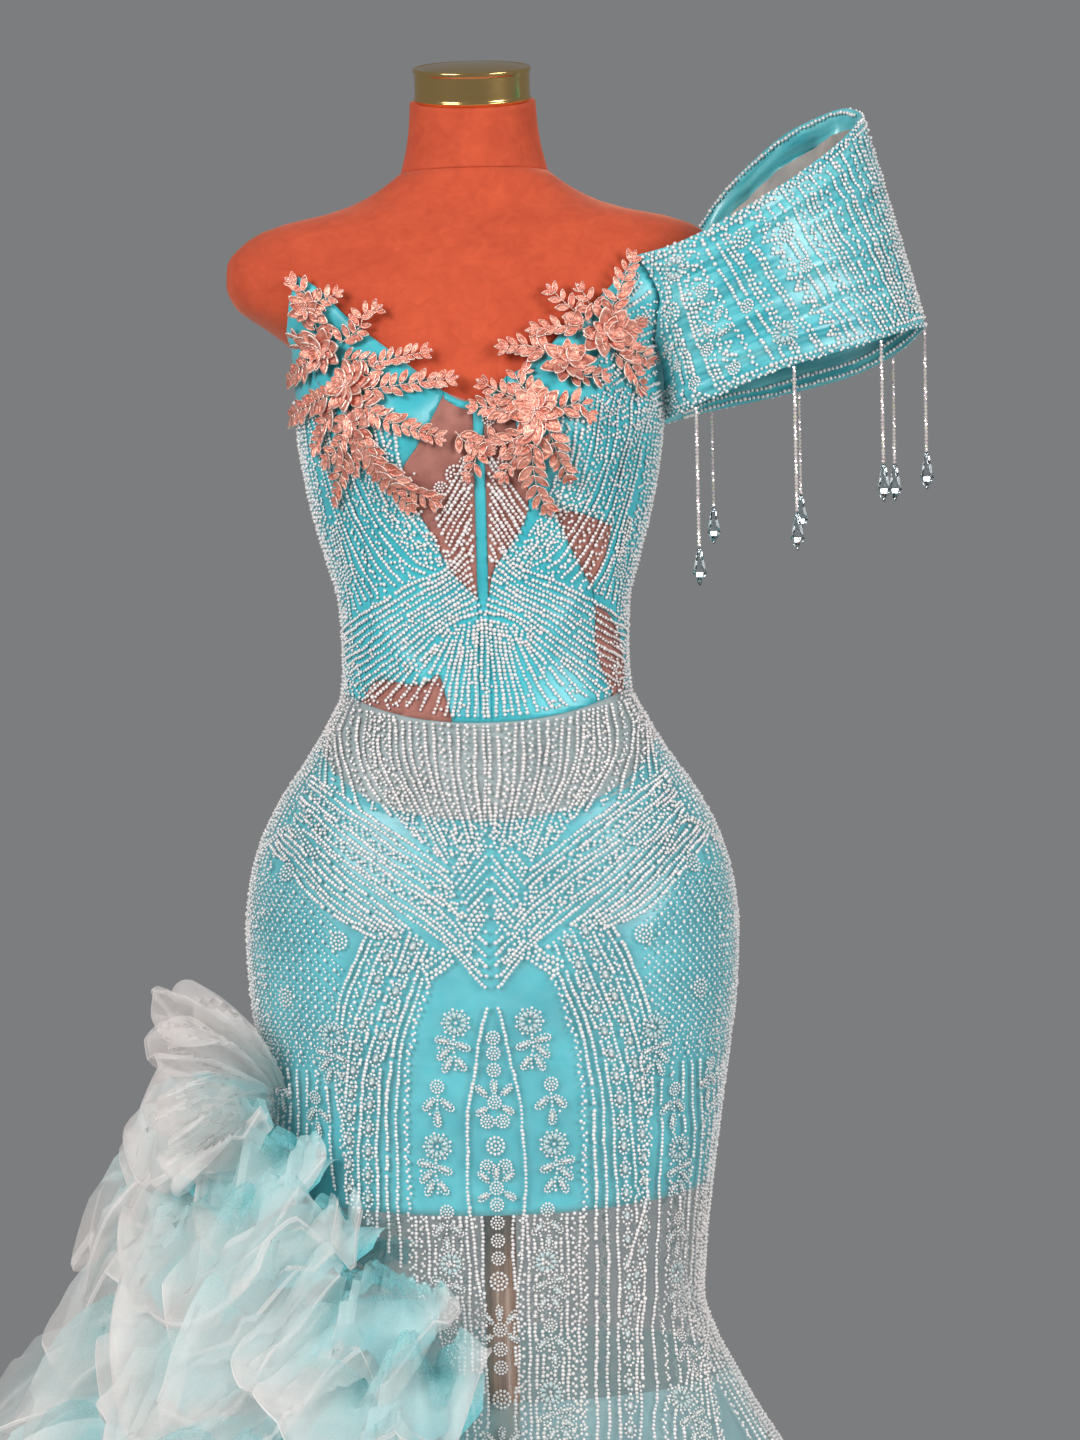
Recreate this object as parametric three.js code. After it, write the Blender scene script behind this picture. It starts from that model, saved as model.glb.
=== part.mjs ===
// A mermaid prom gown on a limbless dress form with a stand.
// Millimetres, +Z up, front towards -Y. The origin is the underside centre of the stand's base.
import * as THREE from "three";

// ---------------------------------------------------------------- driving sizes
const SEAM_GAP = 0.3;            // clear distance between two panels at a seam
const SATIN_OFFSET = 2.6;        // inner face of the satin, out from the dress form
const SATIN_WALL = 1.8;
const MESH_WALL = 1.2;           // nude mesh insets
const TULLE_OFFSET = 6;          // inner face of the beaded tulle skirt
const TULLE_WALL = 1.4;
const PETTICOAT_OFFSET = -9;     // stiff tulle inside the flare
const GRIP = 0.7;                // how close the top of the back holds the dress form
const APPLIQUE_OFFSET = 5;
const APPLIQUE_WALL = 2;
const COLUMN_STEP = 18;          // degrees between the facet columns of every body layer

const WAIST_SEAM_FRONT = 1078;   // height of the waist seam at centre front
const WAIST_SEAM_SIDE = 1101;
const KNEE_SEAM = 560;           // where the flare is joined
const HEM = 5;                   // lowest edge of the cloth
const SATIN_HEM = 699;           // hem of the satin mini-skirt
const SATIN_TOP_FRONT = 1003;    // top edge of the satin under the beaded tulle
const SATIN_TOP_SIDE = 1058;
const BACK_TOP = 1338;           // top edge of the bodice at centre back

const FORM_BOTTOM = 815;
const NECK_BASE = 1513;
const POLE_RADIUS = 13;
const BASE_RADIUS = 190;
const BASE_THICK = 12;

// Level sections of the figure: half width, depth in front of and behind the middle line,
// and how far that middle line lies behind the axis. The flare keeps to the same table.
const FIGURE = [
  // z, halfWidth, front, back, setBack
  [0, 430, 340, 430, 0],
  [150, 386, 300, 385, 0],
  [300, 326, 248, 318, 0],
  [420, 262, 192, 240, 0],
  [500, 207, 150, 184, 0],
  [540, 184, 132, 158, 0],
  [580, 164, 119, 140, 0],
  [612, 155, 114, 134, 0],
  [660, 158, 114, 134, 0],
  [700, 163, 115, 135, 0],
  [756, 171, 116, 138, 0],
  [820, 181, 118, 142, 0],
  [865, 187, 119, 146, 0],
  [912, 189, 118, 149, 0],
  [948, 185, 114, 144, 0],
  [980, 176, 108, 132, 0],
  [1012, 160, 99, 114, 0],
  [1044, 138, 89, 96, 0],
  [1076, 119, 81, 83, 0],
  [1100, 110, 76, 78, 0],
  [1130, 108, 74, 76, 0],
  [1172, 110, 75, 79, 0],
  [1204, 118, 78, 84, 0],
  [1236, 127, 83, 89, 0],
  [1268, 134, 88, 93, 0],
  [1300, 139, 92, 96, 2],
  [1332, 142, 95, 97, 4],
  [1362, 144, 95, 98, 6],
  [1374, 147, 94, 98, 7],
  [1384, 158, 93, 98, 8],
  [1395, 173, 92, 97, 9],
  [1409, 192, 90, 95, 10],
  [1427, 200, 85, 90, 11],
  [1444, 199, 79, 84, 12],
  [1460, 186, 72, 77, 13],
  [1471, 168, 66, 70, 14],
  [1478, 143, 62, 65, 15],
  [1483, 117, 59, 61, 15],
  [1490, 97, 56, 58, 15],
  [1501, 76, 54, 55, 14],
  [1513, 60, 52, 53, 13],
];
const ROUNDNESS = 2.2;           // superellipse power of the sections

// Each cup swells forwards from the chest.
const CUPS = { reach: 30, side: 74, height: 1306, wide: 44, tall: 46 };

// Facet heights that every body layer shares.
const LEVELS = [
  0, 150, 300, 440, 560, 630, 700, 760, 815, 865, 910, 950, 985, 1018, 1046, 1070, 1096,
  1136, 1180, 1222, 1262, 1298, 1330, 1358, 1376, 1390, 1405, 1422, 1438, 1452, 1463, 1471, 1478,
  1484, 1492, 1502, 1513,
];

// ---------------------------------------------------------------- the figure's surface
const radians = (degrees) => degrees * Math.PI / 180;
const mix = (from, to, share) => from + (to - from) * share;
const clamp = (value, low, high) => Math.min(Math.max(value, low), high);
const smooth = (share) => share * share * (3 - 2 * share);

// Reads one column of a table whose first column rises, on a curve that never overshoots.
function readTable(table, column, key) {
  const last = table.length - 1;
  if (key <= table[0][0]) return table[0][column];
  if (key >= table[last][0]) return table[last][column];
  let row = 0;
  while (table[row + 1][0] < key) row += 1;
  const slope = (i) => (table[i + 1][column] - table[i][column]) / (table[i + 1][0] - table[i][0]);
  const tangent = (i) => {
    if (i === 0) return slope(0);
    if (i === last) return slope(last - 1);
    const before = slope(i - 1);
    const after = slope(i);
    return before * after <= 0 ? 0 : 2 * before * after / (before + after);
  };
  const span = table[row + 1][0] - table[row][0];
  const t = (key - table[row][0]) / span;
  const h00 = (1 + 2 * t) * (1 - t) ** 2;
  const h10 = t * (1 - t) ** 2;
  const h01 = t * t * (3 - 2 * t);
  const h11 = t * t * (t - 1);
  return h00 * table[row][column] + h10 * span * tangent(row)
    + h01 * table[row + 1][column] + h11 * span * tangent(row + 1);
}

// The flare falls in soft folds below the knee seam.
const FOLDS = { count: 5, depth: 20 };
function foldDepth(turn, z) {
  const share = clamp((KNEE_SEAM - z) / (KNEE_SEAM - 200), 0, 1);
  return FOLDS.depth * smooth(share) * Math.cos(radians(turn) * FOLDS.count);
}

// A point of the figure: turn is in degrees from centre front towards +X, z is the height.
function figurePoint(turn, z) {
  const sine = Math.sin(radians(turn));
  const cosine = Math.cos(radians(turn));
  const across = Math.sign(sine) * Math.abs(sine) ** (2 / ROUNDNESS);
  const along = Math.sign(cosine) * Math.abs(cosine) ** (2 / ROUNDNESS);
  const halfWidth = readTable(FIGURE, 1, z) + foldDepth(turn, z);
  const depth = readTable(FIGURE, cosine >= 0 ? 2 : 3, z) + foldDepth(turn, z);
  const x = halfWidth * across;
  let y = readTable(FIGURE, 4, z) - depth * along;
  if (cosine > 0) {
    const up = ((z - CUPS.height) / CUPS.tall) ** 2;
    const left = ((x + CUPS.side) / CUPS.wide) ** 2;
    const right = ((x - CUPS.side) / CUPS.wide) ** 2;
    y -= CUPS.reach * (Math.exp(-up - left) + Math.exp(-up - right)) * cosine ** 0.5;
  }
  return new THREE.Vector3(x, y, z);
}

function figureNormal(turn, z) {
  const alongTurn = figurePoint(turn + 0.5, z).sub(figurePoint(turn - 0.5, z));
  const alongHeight = figurePoint(turn, z + 1).sub(figurePoint(turn, z - 1));
  return alongTurn.cross(alongHeight).normalize();
}

// A point a given way out from the figure, on the facets that all the body layers share. Each
// cell of the facet grid is split from its lower left to its upper right corner.
function layerPoint(turn, z, offset) {
  const node = (column, level) => figurePoint(column, level)
    .addScaledVector(figureNormal(column, level), offset);
  const left = Math.floor(turn / COLUMN_STEP) * COLUMN_STEP;
  const level = clamp(LEVELS.findLastIndex((height) => height <= z), 0, LEVELS.length - 2);
  const across = (turn - left) / COLUMN_STEP;
  const up = (z - LEVELS[level]) / (LEVELS[level + 1] - LEVELS[level]);
  const low = node(left, LEVELS[level]);
  const high = node(left + COLUMN_STEP, LEVELS[level + 1]);
  if (up > across) {
    const corner = node(left, LEVELS[level + 1]);
    return low.addScaledVector(corner.clone().sub(low), up).addScaledVector(high.sub(corner), across);
  }
  const corner = node(left + COLUMN_STEP, LEVELS[level]);
  return low.addScaledVector(corner.clone().sub(low), across).addScaledVector(high.sub(corner), up);
}

// The turn at which the figure's front or back is x wide of the axis.
function turnAt(x, z, atBack = false) {
  const share = clamp(Math.abs(x) / readTable(FIGURE, 1, z), 0, 1) ** (ROUNDNESS / 2);
  const turn = Math.asin(share) * 180 / Math.PI * Math.sign(x);
  return atBack ? 180 - turn : turn;
}

// ---------------------------------------------------------------- solids
const meshes = [];

function addMesh(name, geometry, material) {
  const mesh = new THREE.Mesh(geometry, material);
  mesh.name = name;
  meshes.push(mesh);
}

function geometryOf(points, faces) {
  const geometry = new THREE.BufferGeometry();
  const positions = new Float32Array(points.length * 3);
  points.forEach((point, i) => point.toArray(positions, i * 3));
  geometry.setAttribute("position", new THREE.BufferAttribute(positions, 3));
  geometry.setIndex(faces.flat());
  geometry.computeVertexNormals();
  return geometry;
}

// Closes two matching skins into a wall: outer faces run as given, inner ones are turned round.
function wallOf(outer, inner, faces) {
  const count = outer.length;
  const closed = faces.slice();
  const edges = new Set();
  for (const [a, b, c] of faces) {
    closed.push([a + count, c + count, b + count]);
    for (const [from, to] of [[a, b], [b, c], [c, a]]) edges.add(`${from},${to}`);
  }
  for (const edge of edges) {
    const [from, to] = edge.split(",").map(Number);
    if (edges.has(`${to},${from}`)) continue;
    closed.push([to, from, from + count], [to, from + count, to + count]);
  }
  return geometryOf(outer.concat(inner), closed);
}

// A wall over a grid of points: rows x columns, outside seen with the rows rising.
function gridWall(rows, columns, pointAt, thickness) {
  const outer = [];
  const inner = [];
  const step = 0.02;
  for (let row = 0; row <= rows; row += 1) {
    for (let column = 0; column <= columns; column += 1) {
      const u = column / columns;
      const v = row / rows;
      const low = clamp(u - step, 0, 1);
      const high = clamp(u + step, 0, 1);
      const down = clamp(v - step, 0, 1);
      const up = clamp(v + step, 0, 1);
      const normal = pointAt(high, v).sub(pointAt(low, v))
        .cross(pointAt(u, up).sub(pointAt(u, down))).normalize();
      const point = pointAt(u, v);
      outer.push(point);
      inner.push(point.clone().addScaledVector(normal, -thickness));
    }
  }
  const faces = [];
  const width = columns + 1;
  for (let row = 0; row < rows; row += 1) {
    for (let column = 0; column < columns; column += 1) {
      const corner = row * width + column;
      faces.push([corner, corner + 1, corner + width + 1]);
      faces.push([corner, corner + width + 1, corner + width]);
    }
  }
  return wallOf(outer, inner, faces);
}

// A closed solid through level rings of points, all with the same count.
function ringSolid(rings) {
  const points = rings.flat();
  const count = rings[0].length;
  const faces = [];
  for (let ring = 0; ring < rings.length - 1; ring += 1) {
    for (let i = 0; i < count; i += 1) {
      const a = ring * count + i;
      const b = ring * count + (i + 1) % count;
      faces.push([a, b, b + count], [a, b + count, a + count]);
    }
  }
  const middle = (ring) => ring.reduce((sum, point) => sum.add(point), new THREE.Vector3())
    .divideScalar(count);
  const top = (rings.length - 1) * count;
  points.push(middle(rings[0]), middle(rings[rings.length - 1]));
  for (let i = 0; i < count; i += 1) {
    const next = (i + 1) % count;
    faces.push([points.length - 2, next, i]);
    faces.push([points.length - 1, top + i, top + next]);
  }
  return geometryOf(points, faces);
}

// ---------------------------------------------------------------- panels cut to an outline
const ON_LINE = 1e-7;            // a point this near a cutting line lies on it
const SAME_POINT = 1e-4;         // two points this near are one

// Cuts an outline along the line where measure(point) is zero and returns the outlines on its
// positive side. The runs of points on that side are joined up in their order along the line.
function clipOutline(outline, measure) {
  const count = outline.length;
  const inside = outline.map((point) => measure(point) > -ON_LINE);
  if (!inside.includes(false)) return [outline];
  const crossing = (i, j) => {
    const share = measure(outline[i]) / (measure(outline[i]) - measure(outline[j]));
    return [mix(outline[i][0], outline[j][0], share), mix(outline[i][1], outline[j][1], share)];
  };
  const runs = [];
  for (let i = 0; i < count; i += 1) {
    const before = (i + count - 1) % count;
    if (!inside[i] || inside[before]) continue;
    const run = [crossing(before, i)];
    let last = i;
    while (inside[last % count]) {
      run.push(outline[last % count]);
      last += 1;
    }
    run.push(crossing((last - 1) % count, last % count));
    runs.push(run);
  }
  const ends = runs.flatMap((run, index) => [
    { index, leaving: false, place: run[0][0] + run[0][1] },
    { index, leaving: true, place: run[run.length - 1][0] + run[run.length - 1][1] },
  ]);
  ends.sort((a, b) => a.place - b.place);
  const follower = new Map();
  for (let i = 0; i < ends.length; i += 2) {
    const [leaving, entering] = ends[i].leaving ? [ends[i], ends[i + 1]] : [ends[i + 1], ends[i]];
    follower.set(leaving.index, entering.index);
  }
  const outlines = [];
  const used = new Set();
  runs.forEach((run, first) => {
    if (used.has(first)) return;
    const joined = [];
    for (let index = first; !used.has(index); index = follower.get(index)) {
      used.add(index);
      joined.push(...runs[index]);
    }
    outlines.push(joined);
  });
  return outlines;
}

// The two facets of one cell of the shared grid, as functions that are positive inside.
function cellFacets(left, low, high) {
  const right = left + COLUMN_STEP;
  const diagonal = ([turn, z]) => (z - low) / (high - low) - (turn - left) / COLUMN_STEP;
  return [
    [([turn]) => turn - left, ([, z]) => high - z, diagonal],
    [([turn]) => right - turn, ([, z]) => z - low, (point) => -diagonal(point)],
  ];
}

function outlineArea(outline) {
  return outline.reduce((sum, [x, y], i) => {
    const [nextX, nextY] = outline[(i + 1) % outline.length];
    return sum + (x * nextY - nextX * y) / 2;
  }, 0);
}

// Moves every side of a counter-clockwise outline inwards by the same distance.
function shrinkOutline(outline, distance, mmPerDegree) {
  const flat = outline.map(([turn, z]) => new THREE.Vector2(turn * mmPerDegree, z));
  return flat.map((point, i) => {
    const before = flat[(i + flat.length - 1) % flat.length];
    const after = flat[(i + 1) % flat.length];
    const arriving = point.clone().sub(before).normalize();
    const leaving = after.clone().sub(point).normalize();
    const inwardA = new THREE.Vector2(-arriving.y, arriving.x);
    const inwardB = new THREE.Vector2(-leaving.y, leaving.x);
    const bisector = inwardA.add(inwardB).normalize();
    const reach = distance / Math.max(bisector.dot(inwardB), 0.35);
    return [(point.x + bisector.x * reach) / mmPerDegree, point.y + bisector.y * reach];
  });
}

// Cuts an outline of [turn, z] points along the shared facet grid into a wall on the figure.
function cutPanel(outline, offset, thickness, mmPerDegree = 2.4) {
  let edge = outlineArea(outline) < 0 ? outline.slice().reverse() : outline;
  edge = shrinkOutline(edge, SEAM_GAP * 0.75, mmPerDegree);
  const turns = edge.map(([turn]) => turn);
  const heights = edge.map(([, z]) => z);
  const firstColumn = Math.floor(Math.min(...turns) / COLUMN_STEP);
  const lastColumn = Math.ceil(Math.max(...turns) / COLUMN_STEP);
  const places = [];
  const faces = [];
  const indexOf = ([turn, z]) => {
    const found = places.findIndex((place) =>
      Math.abs(place[0] - turn) < SAME_POINT && Math.abs(place[1] - z) < SAME_POINT);
    return found >= 0 ? found : places.push([turn, z]) - 1;
  };
  const addPiece = (piece) => {
    const ring = [];
    for (const point of piece) {
      const index = indexOf(point);
      if (ring[ring.length - 1] !== index && ring[0] !== index) ring.push(index);
    }
    if (ring.length < 3) return;
    const flat = ring.map((index) => new THREE.Vector2(places[index][0] * mmPerDegree, places[index][1]));
    for (const triangle of THREE.ShapeUtils.triangulateShape(flat, [])) {
      faces.push(triangle.map((i) => ring[i]));
    }
  };
  for (let column = firstColumn; column < lastColumn; column += 1) {
    for (let level = 0; level < LEVELS.length - 1; level += 1) {
      if (LEVELS[level + 1] < Math.min(...heights) || LEVELS[level] > Math.max(...heights)) continue;
      for (const facet of cellFacets(column * COLUMN_STEP, LEVELS[level], LEVELS[level + 1])) {
        const cut = (pieces, measure) => pieces.flatMap((piece) => clipOutline(piece, measure));
        facet.reduce(cut, [edge]).forEach(addPiece);
      }
    }
  }
  const offsetAt = typeof offset === "function" ? offset : () => offset;
  const outer = places.map(([turn, z]) => layerPoint(turn, z, offsetAt(turn, z) + thickness));
  const inner = places.map(([turn, z]) => layerPoint(turn, z, offsetAt(turn, z)));
  return wallOf(outer, inner, faces);
}

// ---------------------------------------------------------------- materials
const finish = (color, roughness, metalness = 0, extra = {}) =>
  new THREE.MeshStandardMaterial({ color, roughness, metalness, ...extra });
const see = (opacity) => ({ transparent: true, opacity });
const suede = finish(0xc8451c, 0.95);
const gold = finish(0xb8862f, 0.2, 1);
const stain = finish(0xa8572e, 0.5);
const satin = finish(0x3fb9c6, 0.35);
const nudeMesh = finish(0x9b5b4c, 0.8, 0, see(0.8));
const beadedTulle = finish(0xa9d9dc, 0.6, 0, see(0.45));
const stiffTulle = finish(0x8fd8de, 0.7, 0, see(0.6));
const roseThread = finish(0xd98a7c, 0.6);
const beads = finish(0xe6c9bf, 0.2);
const crystal = finish(0xd9e4e6, 0.05, 0, see(0.6));

// ---------------------------------------------------------------- dress form and stand
const FORM_SIDES = 360 / COLUMN_STEP;

function dressForm() {
  const levels = LEVELS.filter((z) => z >= FORM_BOTTOM);
  const rings = levels.map((z) => {
    const ring = [];
    for (let i = 0; i < FORM_SIDES; i += 1) ring.push(figurePoint(i * COLUMN_STEP, z));
    return ring;
  });
  return ringSolid(rings);
}

// The neck and its cap lean forwards, more towards the top.
const NECK = [
  // up, radius, lean in degrees
  [0, 59, 0],
  [8, 57, 3],
  [20, 54, 7],
  [36, 51.5, 11],
  [56, 50, 14],
];
const CAP = { radius: 46.5, height: 27, lean: 14, dome: 3 };
const NECK_SIDES = 24;

function leaningRing(centre, radius, lean) {
  const tilt = new THREE.Matrix4().makeRotationX(radians(lean));
  const ring = [];
  for (let i = 0; i < NECK_SIDES; i += 1) {
    const angle = radians(i * 360 / NECK_SIDES);
    const point = new THREE.Vector3(radius * Math.sin(angle), -radius * 0.9 * Math.cos(angle), 0);
    ring.push(point.applyMatrix4(tilt).add(centre));
  }
  return ring;
}

function neckCentre(up, lean) {
  const forward = up * Math.sin(radians(lean)) * 0.6;
  return new THREE.Vector3(0, 13 - forward, NECK_BASE + SEAM_GAP + up);
}

function neck() {
  return ringSolid(NECK.map(([up, radius, lean]) => leaningRing(neckCentre(up, lean), radius, lean)));
}

function neckCap() {
  const [up, , lean] = NECK[NECK.length - 1];
  const axis = new THREE.Vector3(0, -Math.sin(radians(lean)), Math.cos(radians(lean)));
  const seat = neckCentre(up, lean).addScaledVector(axis, SEAM_GAP);
  const at = (height, radius) => leaningRing(seat.clone().addScaledVector(axis, height), radius, lean);
  return ringSolid([
    at(0, CAP.radius - 1),
    at(1.5, CAP.radius),
    at(CAP.height - 2, CAP.radius),
    at(CAP.height, CAP.radius - 2),
    at(CAP.height + CAP.dome, CAP.radius * 0.4),
  ]);
}

function turned(profile, sides) {
  const geometry = new THREE.LatheGeometry(profile.map(([r, z]) => new THREE.Vector2(r, z)), sides);
  return geometry.rotateX(Math.PI / 2);
}

function standPole() {
  const bottom = BASE_THICK + SEAM_GAP;
  const top = FORM_BOTTOM - SEAM_GAP;
  return turned([[0, bottom], [POLE_RADIUS, bottom], [POLE_RADIUS, top], [0, top]], 16);
}

function standBase() {
  return turned([[0, 0], [BASE_RADIUS, 0], [BASE_RADIUS, 7], [BASE_RADIUS - 6, BASE_THICK],
    [0, BASE_THICK]], 40);
}

addMesh("form_torso", dressForm(), suede);
addMesh("form_neck", neck(), suede);
addMesh("neck_cap", neckCap(), gold);
addMesh("stand_pole", standPole(), stain);
addMesh("stand_base", standBase(), stain);

// ---------------------------------------------------------------- seam lines of the bodice
// Front lines are [x, z] in millimetres; onFigure turns them into [turn, z].
const onFigure = (line) => line.map(([x, z]) => [turnAt(x, z), z]);
const waistSeam = (turn) => mix(WAIST_SEAM_FRONT, WAIST_SEAM_SIDE, Math.sin(radians(turn)) ** 2);
function waistLine(fromTurn, toTurn) {
  const line = [];
  const steps = Math.max(2, Math.round(Math.abs(toTurn - fromTurn) / 8));
  for (let i = 0; i <= steps; i += 1) {
    const turn = mix(fromTurn, toTurn, i / steps);
    line.push([turn, waistSeam(turn)]);
  }
  return line;
}

const STRIP_HALF = 4.5;          // narrow satin strip down the centre front
const SIDE_SEAM = 90;            // turn of the side seams

// From the waist up along the edge of the strip to the V of the neckline.
const stripEdge = (side) => onFigure([
  [side * STRIP_HALF, 1078.1], [side * STRIP_HALF, 1126], [side * STRIP_HALF, 1176],
]);
const stripUpper = (side) => onFigure([
  [side * STRIP_HALF, 1176], [side * STRIP_HALF, 1222], [side * STRIP_HALF, 1270],
  [side * STRIP_HALF, 1327],
]);
// Outer edge of each centre mesh lobe, from its lower tip up to the neckline.
const lobeLeft = onFigure([[-4.5, 1176], [-24, 1198], [-42, 1234], [-62, 1268], [-45, 1300], [-26, 1334]]);
const lobeRight = onFigure([[4.5, 1176], [9, 1198], [28, 1226], [37, 1250], [34, 1290], [22, 1345]]);
// The neckline, from the centre V out to each peak.
const neckLeft = onFigure([[-26, 1334], [-46, 1350], [-74, 1374], [-99, 1396], [-121, 1418], [-138, 1429]]);
const neckRight = onFigure([[22, 1345], [46, 1358], [70, 1384], [101, 1412], [116, 1427], [124, 1440]]);
// The armhole edges, from each peak down to the top of the side seam.
const armLeft = onFigure([[-138, 1429], [-144, 1412], [-147, 1394]]).concat([[-76, 1376], [-SIDE_SEAM, 1362]]);
const armRight = onFigure([[124, 1440], [138, 1420], [146, 1396]]).concat([[76, 1376], [SIDE_SEAM, 1362]]);
// Princess seams, from the waist up to the armhole.
const princessLeft = onFigure([[-95, 1096], [-88, 1140], [-86, 1180], [-92, 1230], [-102, 1280],
  [-116, 1330], [-130, 1362], [-147, 1394]]);
// On the right the princess seam parts round two mesh insets.
const rightSeamLow = onFigure([[97, 1097], [85, 1132], [85, 1168]]);
const rightSeamJoin = onFigure([[85, 1168], [83, 1182]]);
const rightInsetInner = onFigure([[83, 1182], [68, 1214], [55, 1246]]);
const rightInsetTop = onFigure([[55, 1246], [78, 1240], [100, 1230]]);
const rightInsetOuter = onFigure([[83, 1182], [93, 1205], [100, 1230]]);
const rightSeamHigh = onFigure([[100, 1230], [108, 1280], [120, 1330], [133, 1366], [146, 1396]]);
const rightLowOuter = onFigure([[106, 1100], [105, 1134], [97, 1158], [85, 1168]]);
// The lower left inset sits on the waist seam.
const leftLowTop = onFigure([[-95, 1096], [-82, 1112], [-50, 1108], [-36, 1116], [-30, 1098], [-26, 1079.2]]);

const back = (line) => line.slice().reverse();
const join = (...lines) => lines.flatMap((line, i) => (i === 0 ? line : line.slice(1)));
const closed = (...lines) => join(...lines).slice(0, -1);
const lastOf = (line) => line[line.length - 1];

// Back top edge, from the side seam round to centre back.
const backTop = (side) => [[SIDE_SEAM, 1362], [104, 1358], [125, 1350], [150, 1341], [178.5, BACK_TOP]]
  .map(([turn, z]) => [side * turn, z]);
const sideLine = (side) => [[side * SIDE_SEAM, waistSeam(SIDE_SEAM)], [side * SIDE_SEAM, 1362]];
const centreBack = (side) => [[side * 178.5, BACK_TOP], [side * 178.5, waistSeam(178.5)]];

// The bodice stands clear of the dress form and grips it along the top of the back.
function bodiceOffset(turn, z) {
  const share = smooth(clamp((z - 1316) / 22, 0, 1)) * smooth(clamp((Math.abs(turn) - 100) / 20, 0, 1));
  return mix(SATIN_OFFSET, GRIP, share);
}

const armPart = (line, from, to) => line.slice(from, to + 1);
const PRINCESS_TOP = 2;          // index on the armhole line where the princess seam ends

const bodice = {
  bodice_front_left: closed(
    leftLowTop, waistLine(lastOf(leftLowTop)[0], stripEdge(-1)[0][0]), stripEdge(-1), lobeLeft,
    neckLeft, armPart(armLeft, 0, PRINCESS_TOP), back(princessLeft),
  ),
  bodice_front_right: closed(
    waistLine(stripEdge(1)[0][0], rightSeamLow[0][0]), rightSeamLow, rightSeamJoin, rightInsetInner,
    rightInsetTop, rightSeamHigh, back(armPart(armRight, 0, PRINCESS_TOP)), back(neckRight),
    back(lobeRight), back(stripEdge(1)),
  ),
  bodice_centre_strip: closed(
    waistLine(stripEdge(-1)[0][0], stripEdge(1)[0][0]), stripEdge(1), stripUpper(1),
    [lastOf(stripUpper(1)), lastOf(stripUpper(-1))], back(stripUpper(-1)), back(stripEdge(-1)),
  ),
  bodice_side_left: closed(
    waistLine(-SIDE_SEAM, princessLeft[0][0]), princessLeft,
    armPart(armLeft, PRINCESS_TOP, armLeft.length - 1), back(sideLine(-1)),
  ),
  bodice_side_right: closed(
    waistLine(rightLowOuter[0][0], SIDE_SEAM), sideLine(1),
    back(armPart(armRight, PRINCESS_TOP, armRight.length - 1)), back(rightSeamHigh),
    back(rightInsetOuter), back(rightSeamJoin), back(rightLowOuter),
  ),
  bodice_back_right: closed(
    waistLine(SIDE_SEAM, 178.5), back(centreBack(1)), back(backTop(1)), back(sideLine(1)),
  ),
  bodice_back_left: closed(
    waistLine(-178.5, -SIDE_SEAM), sideLine(-1), backTop(-1), centreBack(-1),
  ),
};
const insets = {
  inset_centre_left: closed(
    back(stripUpper(-1)), lobeLeft, [lastOf(lobeLeft), lastOf(stripUpper(-1))],
  ),
  inset_centre_right: closed(
    stripUpper(1), [lastOf(stripUpper(1)), lastOf(lobeRight)], back(lobeRight),
  ),
  inset_right_upper: closed(rightInsetOuter, back(rightInsetTop), back(rightInsetInner)),
  inset_right_lower: closed(
    waistLine(rightSeamLow[0][0], rightLowOuter[0][0]), rightLowOuter, back(rightSeamLow),
  ),
  inset_left_lower: closed(
    waistLine(leftLowTop[0][0], lastOf(leftLowTop)[0]), back(leftLowTop),
  ),
};
for (const [name, outline] of Object.entries(bodice)) {
  addMesh(name, cutPanel(outline, bodiceOffset, SATIN_WALL), satin);
}
for (const [name, outline] of Object.entries(insets)) {
  addMesh(name, cutPanel(outline, SATIN_OFFSET, MESH_WALL), nudeMesh);
}
// The placket that hides the closure at centre back.
const PLACKET_HALF = 1.5;        // degrees
addMesh("back_placket", cutPanel([
  [180 - PLACKET_HALF, WAIST_SEAM_FRONT], [180 + PLACKET_HALF, WAIST_SEAM_FRONT], [180 + PLACKET_HALF, BACK_TOP],
  [180 - PLACKET_HALF, BACK_TOP],
], bodiceOffset, SATIN_WALL), satin);

// ---------------------------------------------------------------- skirts
function band(fromTurn, toTurn, lowerEdge, upperEdge) {
  const steps = Math.round(Math.abs(toTurn - fromTurn) / 7.5);
  const low = [];
  const high = [];
  for (let i = 0; i <= steps; i += 1) {
    const turn = mix(fromTurn, toTurn, i / steps);
    low.push([turn, lowerEdge(turn)]);
    high.push([turn, upperEdge(turn)]);
  }
  return low.concat(back(high));
}

const satinHem = (turn) => SATIN_HEM + 8 * Math.sin(radians(turn)) ** 2;
const satinTop = (turn) => mix(SATIN_TOP_FRONT, SATIN_TOP_SIDE, Math.sin(radians(turn)) ** 2);
// The satin meets the tulle that it hangs from along its top edge.
function satinSkirtOffset(turn, z) {
  const held = TULLE_OFFSET - SATIN_WALL - 0.5;
  return mix(SATIN_OFFSET, held, smooth(clamp((z - satinTop(turn) + 20) / 20, 0, 1)));
}
const SATIN_GORES = [
  // name, fromTurn, toTurn
  ["front", -SIDE_SEAM, SIDE_SEAM],
  ["back_right", SIDE_SEAM, 180],
  ["back_left", -180, -SIDE_SEAM],
];
for (const [name, fromTurn, toTurn] of SATIN_GORES) {
  const outline = band(fromTurn, toTurn, satinHem, satinTop);
  addMesh(`satin_skirt_${name}`, cutPanel(outline, satinSkirtOffset, SATIN_WALL), satin);
}

const kneeSeam = () => KNEE_SEAM;
const hem = () => HEM;
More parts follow.
